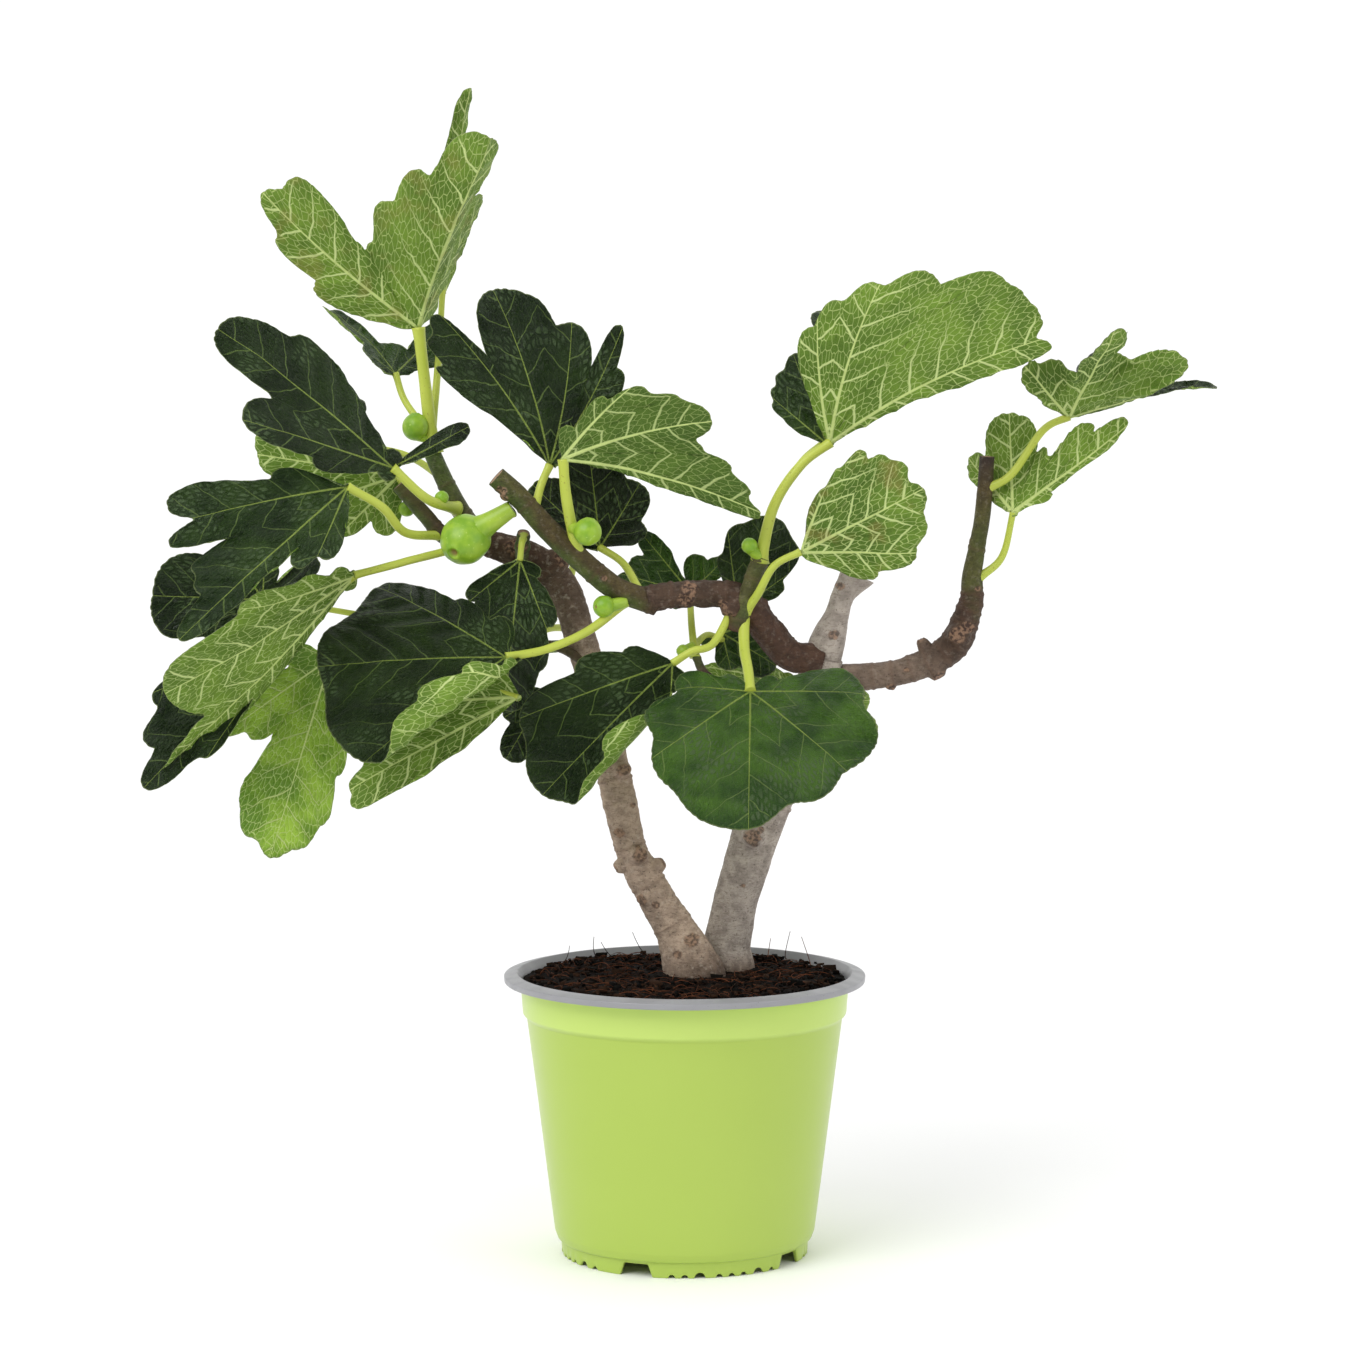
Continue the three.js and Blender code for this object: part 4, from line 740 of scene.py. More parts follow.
def run(rows, steps):
    """A smooth run through rows: Catmull-Rom, so many steps between two rows."""
    rows = np.asarray(rows, float)
    p = np.concatenate([[2 * rows[0] - rows[1]], rows, [2 * rows[-1] - rows[-2]]])
    out = []
    for i in range(1, len(p) - 2):
        t = (np.arange(steps) / steps)[:, None]
        quadratic = (2 * p[i - 1] - 5 * p[i] + 4 * p[i + 1] - p[i + 2]) * t**2
        cubic = (3 * p[i] - p[i - 1] - 3 * p[i + 1] + p[i + 2]) * t**3
        out.append(0.5 * (2 * p[i] + (p[i + 1] - p[i - 1]) * t + quadratic + cubic))
    return np.concatenate(out + [rows[-1:]])


def even_run(rows, spacing):
    """The run at even steps of about spacing, with how far along each row stands."""
    fine = run(rows, RUN_STEPS)
    along = lengths_along(fine[:, :3])
    count = max(3, round(along[-1] / spacing) + 1)
    want = np.linspace(0, along[-1], count)
    return np.stack([np.interp(want, along, fine[:, n]) for n in range(4)], 1), want


RUN_STEPS = 24  # between two rows of a table
STALK_GRAIN = 1.3  # mm between two points along a stalk
STALK_SIDES, NECK_SIDES = 20, 28
STALK_TINT = 0.15  # how warm a stalk's green is
SLANTED = 14  # mm over which a tube's end leans to its slanting cut
PINHOLE = 0.02  # the share of its ring that a cap's last ring has


def frames_along(path):
    """Unit vectors along the path and two across it that don't twist."""
    along = unit(np.gradient(path, axis=0))
    across = np.zeros_like(along)
    across[0] = unit(np.cross((0.3, 1, 0.2), along[0]))
    for i in range(1, len(path)):
        kept = across[i - 1] - along[i] * np.dot(across[i - 1], along[i])
        across[i] = kept / np.linalg.norm(kept)
    return along, across, np.cross(along, across)


def spokes(across, other, turn):
    """Unit vectors out from a path, one at each angle for each of its points."""
    return across[:, None] * np.cos(turn)[None, :, None] + other[:, None] * np.sin(turn)[None, :, None]


def tube(piece, path, radii, values, caps=(0, 6), dish=0.0, slant=None):
    """A tube with a radius for each point of each ring; so many rings in caps close its start and end."""
    along, across, other = frames_along(path)
    sides = radii.shape[1]
    out = spokes(across, other, circle(sides))
    rings = path[:, None] + out * radii[:, :, None]
    lengths = lengths_along(path)
    if slant is not None:
        lean = (out @ np.asarray(slant, float)) * radii
        rising = smooth(lengths[-1] - SLANTED, lengths[-1], lengths)
        rings = rings + along[:, None] * (lean * rising[:, None])[:, :, None]
    points = rings
    kept = {key: np.broadcast_to(v, radii.shape + np.shape(v)[2:]) for key, v in values.items()}
    kept.update(cut=np.zeros(radii.shape), core=np.ones(radii.shape))
    for end, count in ((0, caps[0]), (-1, caps[1])):
        if not count:
            continue
        share = (1 - np.arange(1, count + 1) / count)[:, None, None]
        left = np.maximum(share, PINHOLE)
        centre = rings[end].mean(0)
        cap = centre + (rings[end] - centre) * left - along[end] * (1 if end else -1) * dish * (1 - share**2)
        steps = np.arange(1, count + 1) * max(radii[end].mean() / count, 0.1)
        added = {key: np.broadcast_to(v[end], (count,) + v.shape[1:]) for key, v in kept.items()}
        added.update(cut=np.ones((count, sides)), core=np.broadcast_to(left[..., 0], (count, sides)))
        if end:
            points = np.concatenate([points, cap])
            kept = {key: np.concatenate([kept[key], added[key]]) for key in kept}
            lengths = np.concatenate([lengths, lengths[-1] + steps])
        else:
            points = np.concatenate([cap[::-1], points])
            kept = {key: np.concatenate([added[key][::-1], kept[key]]) for key in kept}
            lengths = np.concatenate([lengths[0] - steps[::-1], lengths])
    count = len(points)
    corners = grid_corners(count, sides, np.linspace(0, 1, sides + 1) * (TURN * radii.mean(1)).max(), lengths)
    given = {key: v.reshape((count * sides,) + v.shape[2:]) for key, v in kept.items()}
    piece.add(points.reshape(-1, 3), grid_triangles(count, sides), corners, 0, 0, given)


def grow_stalk(piece, rows, number):
    """A leaf's stalk, thicker at both ends and reddish where it leaves the wood."""
    path, place = even_run(rows, STALK_GRAIN)
    turn = circle(STALK_SIDES)
    swell = 0.86 + 0.45 * np.exp(-place / 3.5) + 0.2 * np.exp(-(place[-1] - place) / 4)
    ribs = 1 + 0.03 * np.sin(2 * turn + number)[None, :]
    spots = around(3, turn, place[:, None] + 0 * turn + 40 * number)
    radii = np.repeat(path[:, 3:4], STALK_SIDES, 1) * swell[:, None] * ribs * (1 + 0.03 * noise(spots, 6, 21))
    red = smooth(0.1, 0.9, np.exp(-place / 7) * STALK_TINT)[:, None] + 0 * turn
    tube(piece, path[:, :3], radii, {"red": red, "warm": np.full_like(red, STALK_TINT)}, caps=(3, 5))


def grow_fig(piece, centre, radius, axis, tall, neck, number):
    """A young fruit: a lathed egg, faintly ribbed, with a ring of scales round its mouth, on its neck."""
    axis = unit(np.asarray(axis, float))
    across = unit(np.cross(axis, (0.31, 0.2, 0.93) if abs(axis[2]) < 0.9 else (1, 0.1, 0)))
    other = np.cross(axis, across)
    rows, sides = (64, 72) if radius > 10 else (36, 44)
    lean = np.linspace(0.004, math.pi - 0.004, rows)[:, None]
    turn = circle(sides)[None, :]
    out = radius * np.sin(lean) * (1 + 0.012 * np.sin(9 * turn) * np.sin(lean))
    up = radius * tall * np.cos(lean) + 0 * turn
    mouth = bell(lean / 0.2)
    up = up - 0.12 * radius * mouth + 0.07 * radius * bell((lean - 0.26) / 0.1)
    grown = 1 + 0.03 * noise(around(out, turn, up + 50 * number), radius * 0.8, 31)
    sideways = np.cos(turn)[..., None] * across + np.sin(turn)[..., None] * other
    points = np.asarray(centre, float) + grown[..., None] * (out[..., None] * sideways + up[..., None] * axis)
    heights = np.linspace(0, math.pi * radius, rows)[::-1]
    corners = grid_corners(rows, sides, np.linspace(0, TURN * radius, sides + 1), heights)[:, ::-1]
    triangles = grid_triangles(rows, sides)[:, ::-1]
    values = {"mouth": (mouth + 0 * turn).ravel(), "neck": 0.0}
    piece.add(points.reshape(-1, 3), triangles, corners, 0, 0, values)
    if neck:
        path, _ = even_run(neck[::-1], 0.8)
        ring = np.repeat(path[:, 3:4], NECK_SIDES, 1)
        fading = np.ones_like(ring) * np.linspace(1, 0, len(path))[:, None]
        tube(piece, path[:, :3], ring, {"mouth": np.zeros_like(ring), "neck": fading}, caps=(3, 3))


# ---------------------------------------------------------------- trunks, boughs and twigs

TINTS = {
    "beige": srgb(186, 164, 144),
    "grey": srgb(180, 169, 158),
    "fawn": srgb(122, 104, 90),
    "brown": srgb(78, 59, 45),
    "rust": srgb(80, 56, 42),
    "dark": srgb(58, 44, 38),
    "olive": srgb(86, 86, 42),
    "bronze": srgb(84, 72, 40),
    "green": srgb(72, 94, 34),
}
# A limb's colours at shares of its length, the colour of its underside, and its relief in mm: lumps, fine
# wrinkles round it, stripes along it and flakes. rings are swollen rings at shares of its length, and slant
# is how its cut end leans.
LIMB_LOOKS = {
    "trunk_left": dict(
        tints=[(0, "dark"), (0.03, "fawn"), (0.08, "beige"), (0.6, "beige"), (0.75, "fawn"),
            (0.9, "brown"), (1, "brown")], lump=0.9, wrinkle=0.4, flake=0.25,
            rings=[0.13, 0.22, 0.3, 0.43, 0.5, 0.62, 0.86, 0.93],
    ),
    "trunk_right": dict(
        tints=[(0, "dark"), (0.04, "fawn"), (0.1, "grey"), (1, "grey")], lump=0.7, wrinkle=0.12,
            stripe=0.28, rings=[0.55, 0.9],
    ),
    "stub": dict(
        tints=[(0, "grey"), (1, "grey")], lump=0.7, stripe=0.2, flake=0.15, slant=(0.5, 0, 0.1),
    ),
    "bough_right_low": dict(
        tints=[(0, "fawn"), (0.5, "fawn"), (0.75, "brown"), (1, "brown")], lump=0.5, wrinkle=0.25,
            flake=0.2, rings=[0.2, 0.33, 0.46, 0.58, 0.7, 0.8, 0.95],
    ),
    "bough_right_up": dict(
        tints=[(0, "brown"), (0.2, "rust"), (0.26, "olive"), (0.6, "olive"), (0.8, "bronze"), (1, "dark")],
            belly="green", lump=0.25, wrinkle=0.08, rings=[0.05, 0.1, 0.15, 0.2, 0.46],
    ),
    "bough_left_low": dict(
        tints=[(0, "rust"), (0.45, "rust"), (0.7, "brown"), (1, "brown")], lump=0.7, wrinkle=0.2,
            flake=0.75, rings=[0.2, 0.45, 0.62, 0.88, 0.97],
    ),
    "bough_left_up": dict(
        tints=[(0, "brown"), (0.12, "bronze"), (0.7, "bronze"), (1, "olive")], belly="green", lump=0.3,
            wrinkle=0.08, rings=[0.03, 0.34, 0.8],
    ),
    "side_shoot": dict(
        tints=[(0, "rust"), (0.25, "olive"), (1, "olive")], belly="green", lump=0.25,
            rings=[0.15, 0.7, 0.93],
    ),
    "twig_a": dict(
        tints=[(0, "brown"), (0.25, "olive"), (1, "green")], belly="green", lump=0.2,
            rings=[0.02, 0.3, 0.62, 0.97],
    ),
    "twig_b": dict(
        tints=[(0, "brown"), (0.4, "brown"), (1, "olive")], belly="green", lump=0.2, rings=[0.1, 0.5, 0.9],
    ),
    "twig_c": dict(tints=[(0, "olive"), (1, "green")], lump=0.15, rings=[0.2, 0.9]),
    "twig_d": dict(tints=[(0, "brown"), (1, "olive")], lump=0.15, rings=[0.3, 0.6, 0.95]),
    "twig_e": dict(
        tints=[(0, "brown"), (0.8, "brown"), (1, "green")], lump=0.15, rings=[0.3, 0.65, 0.95],
    ),
}
# Scars on the front of a limb: x, z, radius.
SCARS = {
  "trunk_left": [[-38, 246, 3], [-27, 238, 1.5], [-17, 204, 2.4], [-36, 283, 3.4], [-47, 322, 3],
    [-10, 222, 2], [-30, 262, 1.6], [4, 184, 4], [-44, 300, 2], [-4, 176, 2.6]],
  "trunk_right": [[44, 247, 2], [41, 239, 1.8], [34, 214, 1.2], [58, 290, 1.6]],
  "stub": [[86, 361, 3], [90, 389, 2.4]],
  "bough_left_low": [[22, 380, 3], [31, 363, 3.6], [1, 384, 4.4]],
  "bough_right_low": [[163, 366, 3.6], [128, 341, 1.6]],
  "bough_left_up": [[-104, 446, 3], [-46, 396, 1.8]],
  "bough_right_up": [[169, 388, 1.6]],
}
# How far in mm a limb's bark runs on into what carries it.
SUNK = dict(bough_right_up=8, bough_left_up=8, stub=8, twig_a=6, twig_b=6, side_shoot=3, bough_left_low=4)
TRUNKS = ["trunk_left", "trunk_right"]
TWIGS = [name for name in LIMBS if name.startswith("twig")] + ["side_shoot"]
BOUGHS = [name for name in LIMBS if name not in TRUNKS + TWIGS]
BARK_GRAIN = 0.85  # mm between two points of a limb
BLEND = 1.4  # mm over which a knob runs into its limb


def tint_along(tints, share):
    places = [place for place, _ in tints]
    colours = np.array([TINTS[name] for _, name in tints])
    return np.stack([np.interp(share, places, colours[:, n]) for n in range(3)], -1)


def bark(look, local, path, place):
    """A limb's relief in mm and how much of a ring each point stands on."""
    relief = look.get("lump", 0) * cloud(local, 15, 41)
    relief = relief + look.get("wrinkle", 0) * cloud(local, (9, 9, 1.9), 42, 2)
    relief = relief + look.get("stripe", 0) * cloud(local, (1.9, 1.9, 22), 43, 2)
    plates = cloud(local, (5, 5, 6.5), 44, 2)
    flakes = smooth(-0.1, 0.12, plates) + 0.5 * smooth(0.25, 0.4, plates) - 0.7
    relief = relief + look.get("flake", 0) * flakes
    relief = relief + 0.07 * noise(local, 1.7, 45)
    band = np.zeros_like(relief)
    for n, share in enumerate(look.get("rings", [])):
        wobble = 0.9 * noise(local + (0, 0, 90 * n), (9, 9, 999), 46)
        step = np.abs(place[:, None] - share * place[-1] + wobble)
        relief = relief + (0.045 * path[:, 3:4] + 0.12) * bell(step / 0.9) - 0.1 * bell((step - 1.8) / 0.6)
        band = np.maximum(band, bell(step / 1.0))
    return relief, band


def with_knob(surface, scar, middle, size, centre, along, out, local):
    """The limb's surface swollen round a knob, with its worn and dented end."""
    away = middle - centre
    ahead = (out * away[:, None]).sum(-1)
    inside = ahead**2 - (away**2).sum(-1)[:, None] + (size * 1.02) ** 2
    hit = np.where(inside > 0, ahead + np.sqrt(np.maximum(inside, 0)), 0)
    blend = np.clip(0.5 + 0.5 * (hit - surface) / BLEND, 0, 1)
    surface = surface * (1 - blend) + hit * blend + BLEND * blend * (1 - blend) * (hit > 0)
    nearest = np.linalg.norm(away, axis=1).argmin()
    bulge = away[nearest] - along[nearest] * np.dot(away[nearest], along[nearest])
    if np.linalg.norm(bulge) < 1:
        bulge = np.array([0, -1.0, 0])
    pole = middle + unit(bulge) * size
    apart = np.linalg.norm(centre[:, None] + out * surface[..., None] - pole, axis=-1) / (size * 0.8)
    rough = apart * (1 + 0.25 * noise(local, 3, 47))
    surface = surface - 0.16 * size * bell(rough / 0.45) * smooth(1.2, 0.8, apart)
    surface = surface + 0.07 * size * bell((rough - 0.8) / 0.22)
    return surface, np.maximum(scar, smooth(1.25, 0.6, rough))


def grow_limb(piece, name, number):
    look = LIMB_LOOKS[name]
    rows = np.asarray(LIMBS[name], float)
    if name in SUNK:
        back = unit(rows[0, :3] - rows[1, :3]) * SUNK[name]
        rows = np.concatenate([[[*(rows[0, :3] + back), rows[0, 3] * 0.95]], rows])
    path, place = even_run(rows, BARK_GRAIN)
    sides = 8 * max(4, round(TURN * path[:, 3].mean() / BARK_GRAIN / 8))
    centre = path[:, :3]
    along, across, other = frames_along(centre)
    turn = circle(sides)
    out = spokes(across, other, turn)
    local = around(path[:, 3:4], turn, place[:, None] + 0 * turn)
    local[..., 2] += 400 * number
    relief, band = bark(look, local, path, place)
    scar = np.zeros_like(relief)
    surface = path[:, 3:4] * (1 + 0.03 * np.cos(2 * turn + number)[None, :])
    for *middle, size in KNOBS.get(name, []):
        surface, scar = with_knob(surface, scar, np.array(middle, float), size, centre, along, out, local)
    base = centre[:, None] + out * surface[..., None]
    rough = 1 + 0.2 * noise(local, 2.2, 48)
    for x, z, size in SCARS.get(name, []):
        apart = np.hypot((base[..., 0] - x) / 1.15, base[..., 2] - z) / size * rough
        apart = np.where(out[..., 1] < 0.1, apart, 9)
        relief = relief + 0.28 * bell((apart - 0.9) / 0.25) - 0.35 * bell(apart / 0.5)
        scar = np.maximum(scar, smooth(1.2, 0.7, apart))
    share = place / place[-1]
    colour = tint_along(look["tints"], share)[:, None] * np.ones((1, sides, 1))
    if "belly" in look:
        low = smooth(-0.1, 0.75, -out[..., 2] + 0.35 * noise(local, 7, 49))
        low = low * smooth(0, 0.15, share)[:, None] * 0.75
        colour = colour * (1 - low[..., None]) + np.array(TINTS[look["belly"]]) * low[..., None]
    colour = np.concatenate([colour, np.ones(colour.shape[:2] + (1,))], -1)
    values = {"tint": colour, "scar": scar, "band": band}
    tube(piece, centre, surface + relief, values, caps=(2, 8), dish=0.7, slant=look.get("slant"))


# ---------------------------------------------------------------- the pot and its soil

# Radius and height of the pot's outline, from the floor's top out, up, over the rim and down the inside.
POT_PROFILE = [
    (72.4, 11), (73.4, 14.6), (89.2, 139.4), (91.6, 142.2), (93.2, 157.4), (94.6, 160.6), (97.2, 165.2),
    (105, 163.4), (104.7, 159.8), (96.4, 160.4), (95.3, 158.6), (94, 141.6), (91.7, 139), (75.8, 14),
    (74.2, 9.6), (72.1, 8.8), (71.7, 0), (69.9, 0), (69.9, 10.6), (72.4, 11),
]
GREY_ENDS = (104.7, 159.8)  # the rim's outer edge; from here inwards the pot is grey
FOOT_PROFILE = [(0.05, 9), (15.9, 9), (16, 0.6), (15.4, 0), (0.05, 0), (0.05, 9)]
SKIRT_TOP = 8.6
SKIRT_RADIUS = 71
SKIRT_WITHIN = 73  # the skirt's points stand nearer the axis than this
GAPS = [-113, -23, 57, 157]  # degrees about the front
GAP_HALF, GAP_SLOPE, GAP_HEIGHT = 10, 2.6, 7.5
# Round notches in the skirt's foot: their radius and their places after each gap, in degrees.
NOTCHES = [(3.2, [30, 59]), (2.0, [17, 23, 39, 45, 51, 67])]
POT_SIDES = 600
POT_ROW = 9  # mm between two rows of the wall's points, at most
FLOOR_RADIUS, FLOOR_TOP, FLOOR_BOTTOM = 71.4, 11.0, 8.5
DRAINS, DRAIN_RING, DRAIN_RADIUS = 6, 46, 5
FLOOR_STEP = 8.0  # mm between two points of the floor
AXIS = 0.05  # mm: as near the axis as a lathed surface comes


def rounded(profile, radius, steps=4):
    """The closed profile with each corner turned into a short curve."""
    out = []
    corners = [np.array(p, float) for p in profile[:-1]]
    for n, here in enumerate(corners):
        before, after = corners[n - 1], corners[(n + 1) % len(corners)]
        cut_in = min(radius, 0.45 * np.linalg.norm(before - here))
        cut_out = min(radius, 0.45 * np.linalg.norm(after - here))
        start = here + (before - here) / np.linalg.norm(before - here) * cut_in
        stop = here + (after - here) / np.linalg.norm(after - here) * cut_out
        for t in np.linspace(0, 1, steps):
            out.append((1 - t) ** 2 * start + 2 * t * (1 - t) * here + t**2 * stop)
    return np.array(out + [out[0]])


def foot_height(angle):
    """How far the skirt's foot is cut away at an angle about the front, in degrees."""
    high = np.zeros_like(angle)

    def apart(middle):
        return np.radians((angle - middle + 180) % 360 - 180) * SKIRT_RADIUS

    for start in GAPS:
        slope = (GAP_HALF - np.abs(apart(start))) / GAP_SLOPE
        high = np.maximum(high, GAP_HEIGHT * np.clip(slope, 0, 1))
        for radius, steps in NOTCHES:
            for step in steps:
                high = np.maximum(high, np.sqrt(np.maximum(radius**2 - apart(start + step) ** 2, 0)))
    return high


def make_pot_wall(piece):
    """The lathed wall, rim and skirt: green outside, grey from the rim's edge inwards."""
    profile = rounded(POT_PROFILE, 0.7)
    fine = [profile[0]]
    for a, b in zip(profile, profile[1:]):
        gap = np.linalg.norm(b - a)
        if gap < 1e-6:
            continue
        parts = max(1, round(gap / POT_ROW))
        fine += [a + (b - a) * n / parts for n in range(1, parts + 1)]
    fine = np.array(fine)
    rows = len(fine)
    turn = circle(POT_SIDES) - math.pi / 2
    high = foot_height(np.degrees(turn + math.pi / 2))
    r = fine[:, :1] + 0 * turn
    z = fine[:, 1:] + 0 * turn
    cut_away = high + (SKIRT_TOP - high) * np.maximum(z, 0) / SKIRT_TOP
    z = np.where((z < SKIRT_TOP) & (r < SKIRT_WITHIN), np.maximum(cut_away, z), z)
    # A moulded pot isn't perfectly round, and a faint ripple runs in its wall.
    r = r + 0.12 * noise(around(60, turn, z), 45, 61) + 0.05 * np.cos(2 * turn)
    points = around(r, turn, z)
    corners = grid_corners(rows, POT_SIDES, np.linspace(0, TURN * 88, POT_SIDES + 1), lengths_along(fine))
    edge = int(np.hypot(*(fine - GREY_ENDS).T).argmin())
    grey = (np.tile(np.repeat(np.arange(rows - 1), POT_SIDES), 2) <= edge).astype(int)
    triangles = grid_triangles(rows, POT_SIDES)[:, ::-1]
    piece.add(points.reshape(-1, 3), triangles, corners[:, ::-1], grey * 3, grey)


def make_pot_floor(piece):
    """The floor with its round drains, and the foot under its middle."""
    ring = around(FLOOR_RADIUS, np.linspace(0, TURN, 180, endpoint=False), 0)[:, :2]
    middles = around(DRAIN_RING, TURN * (np.arange(DRAINS) + 0.5) / DRAINS, 0)[:, :2]
    holes = [m + around(DRAIN_RADIUS, np.linspace(TURN, 0, 40, endpoint=False), 0)[:, :2] for m in middles]
    grid = np.arange(-68, 69, FLOOR_STEP)
    spots = np.array([(x, y) for x in grid for y in grid if math.hypot(x, y) < 67])
    spots = spots[np.linalg.norm(spots[:, None] - middles, axis=2).min(1) > DRAIN_RADIUS + 2]
    edges, first = [], 0
    for loop in [ring] + holes:
        edges += [(first + n, first + (n + 1) % len(loop)) for n in range(len(loop))]
        first += len(loop)
    flat = [Vector(p) for p in np.concatenate([ring, *holes, spots])]
    made = delaunay_2d_cdt(flat, edges, [], 1, 1e-5)
    places, faces = np.array([tuple(p) for p in made[0]]), np.array(made[2])
    centres = places[faces].mean(1)
    faces = faces[np.linalg.norm(centres[:, None] - middles, axis=2).min(1) > DRAIN_RADIUS - 0.05]
    cross = np.cross(places[faces[:, 1]] - places[faces[:, 0]], places[faces[:, 2]] - places[faces[:, 0]])
    faces = np.where((cross > 0)[:, None], faces, faces[:, ::-1])
    for height, side, island, material in ((FLOOR_TOP, faces, 1, 1), (FLOOR_BOTTOM, faces[:, ::-1], 2, 0)):
        points = np.concatenate([places, np.full((len(places), 1), height)], 1)
        piece.add(points, side, places[side], island, material)
    for loop in holes + [ring]:
        n = len(loop)
        wall = np.array([(x, y, z) for z in (FLOOR_TOP, FLOOR_BOTTOM) for x, y in loop])
        sheet = grid_corners(2, n, np.linspace(0, 31, n + 1), (0, FLOOR_TOP - FLOOR_BOTTOM))
        piece.add(wall, grid_triangles(2, n)[:, ::-1], sheet[:, ::-1], 3, 0)
    foot = rounded(FOOT_PROFILE, 0.4)[::-1]
    points = around(foot[:, :1], circle(96), foot[:, 1:])
    sheet = grid_corners(len(foot), 96, np.linspace(0, 100, 97), np.linspace(0, 44, len(foot)))
    piece.add(points.reshape(-1, 3), grid_triangles(len(foot), 96), sheet, 4, 0)


SOIL_RINGS, SOIL_SIDES = 90, 360
SOIL_EDGE = 94
# Radius and height of the soil's hidden side, just inside the pot's wall.
SOIL_WALL = np.array([(71.4, 11.4), (72.5, 14.6), (88.3, 139.4), (90.8, 142.2), (92.2, 156.0)])
TRUNK_FEET = [(5, 4, 18), (25, 24, 17)]  # x, y, radius
CRUMBS, FIBRES = 900, 420
# Fibres that stand up past the rim: x, y and height.
STANDING = [
    (-54, 60, 14), (-26, 66, 15), (60, 56, 18), (73, 40, 16), (-70, 44, 10), (50, 66, 11), (-46, 68, 9),
]


def soil_height(r):
    return np.interp(r, [0, 74, 88, SOIL_EDGE], [GROUND, GROUND, 161.4, 160.8])


def make_soil_top(piece):
    """The soil's lumpy top, heaped round the trunks, and its side inside the pot."""
    r = SOIL_EDGE * (np.arange(SOIL_RINGS) / (SOIL_RINGS - 1)) ** 0.8
    r[0] = AXIS
    turn = circle(SOIL_SIDES)
    flat = around(r[::-1, None], turn, 0)
    x, y = flat[..., 0], flat[..., 1]
    near = np.min([np.hypot(x - at_x, y - at_y) - radius for at_x, at_y, radius in TRUNK_FEET], 0)
    z = soil_height(r[::-1, None]) + 0 * x
    z = z + 1.5 * cloud(flat, 16, 71) + 0.8 * noise(flat, 5, 72) + 0.45 * noise(flat, 2.2, 73) - 0.6
    z = z + 1.6 * bell(np.maximum(near, 0) / 7)
    z = np.minimum(z, GROUND + 2.2)
    wall = around(SOIL_WALL[:, :1], turn, SOIL_WALL[:, 1:])
    floor = around(AXIS, turn, SOIL_WALL[0, 1])[None]
    points = np.concatenate([floor, wall, np.stack([x, y, z], -1)])
    triangles = grid_triangles(len(points), SOIL_SIDES)
    hidden = np.tile(np.repeat(np.arange(len(points) - 1) < len(SOIL_WALL) + 1, SOIL_SIDES), 2)
    sheet = points.reshape(-1, 3)[triangles][..., :2].copy()
    sheet[hidden] = sheet[hidden] * 0.1
    piece.add(points.reshape(-1, 3), triangles, sheet, hidden.astype(int), 0, {"kind": 0.0})


def scatter_crumbs(piece, rng):
    """Crumbs and chips of bark that lie on the soil."""
    box = np.array([[i, j, k] for i in (-1, 1) for j in (-1, 1) for k in (-1, 1)], float)
    quads = [(0, 1, 3, 2), (4, 6, 7, 5), (0, 4, 5, 1), (2, 3, 7, 6), (0, 2, 6, 4), (1, 5, 7, 3)]
    faces = np.array([t for q in quads for t in ((q[0], q[1], q[2]), (q[0], q[2], q[3]))])
    for _ in range(CRUMBS):
        radius = 91.5 * math.sqrt(rng.random())
        a = TURN * rng.random()
        size = rng.uniform(0.5, 1.5) * np.array([1.5, 1, 0.55]) * (2.1 if rng.random() < 0.07 else 1)
        corners = box * size * rng.uniform(0.55, 1.1, (8, 3))
        spin = Vector(rng.normal(size=3)).to_track_quat("Z", "Y").to_matrix()
        corners = corners @ np.array(spin).T
        height = soil_height(radius) + rng.uniform(0, 1.2)
        place = np.array([radius * math.cos(a), radius * math.sin(a), height])
        if np.hypot(*(place[:2] + corners[:, :2].mean(0))) > 91:
            continue
        sheet = corners[faces][..., :2] + place[:2]
        piece.add(corners + place, faces, sheet, 2, 0, {"kind": float(rng.random())})


def scatter_fibres(piece, rng):
    """Coir fibres and thin roots; the first few stand up past the rim."""
    steps, sides = 12, 5
    for n in range(FIBRES):
        if n < len(STANDING):
            px, py, lift = STANDING[n]
            length, thick = 5 + 0.5 * lift, 0.3
        else:
            radius, a = 84 * math.sqrt(rng.random()), TURN * rng.random()
            px, py = radius * math.cos(a), radius * math.sin(a)
            length, lift, thick = rng.uniform(6, 24), rng.uniform(0, 2.6), rng.uniform(0.1, 0.28)
        heading = rng.uniform(0, TURN)
        bend = rng.normal(0, 0.11)
        way = heading + bend * np.arange(steps)
        walk = np.cumsum(np.stack([np.cos(way), np.sin(way)], 1) * length / steps, 0)
        at = np.array([px, py]) + walk - walk[steps // 2]
        far = np.hypot(at[:, 0], at[:, 1])
        at = at * np.minimum(1, 88 / np.maximum(far, 1))[:, None]
        t = np.linspace(0, 1, steps)
        rise = lift * (t**2 if n < len(STANDING) else np.sin(math.pi * t)) + 0.8
        path = np.stack([at[:, 0], at[:, 1], soil_height(np.hypot(at[:, 0], at[:, 1])) + rise], 1)
        ring = np.full((steps, sides), thick) * np.linspace(1.1, 0.6, steps)[:, None]
        tube(piece, path, ring, {"kind": np.full((steps, sides), 2.0 + rng.random())}, caps=(1, 1))


# ---------------------------------------------------------------- materials


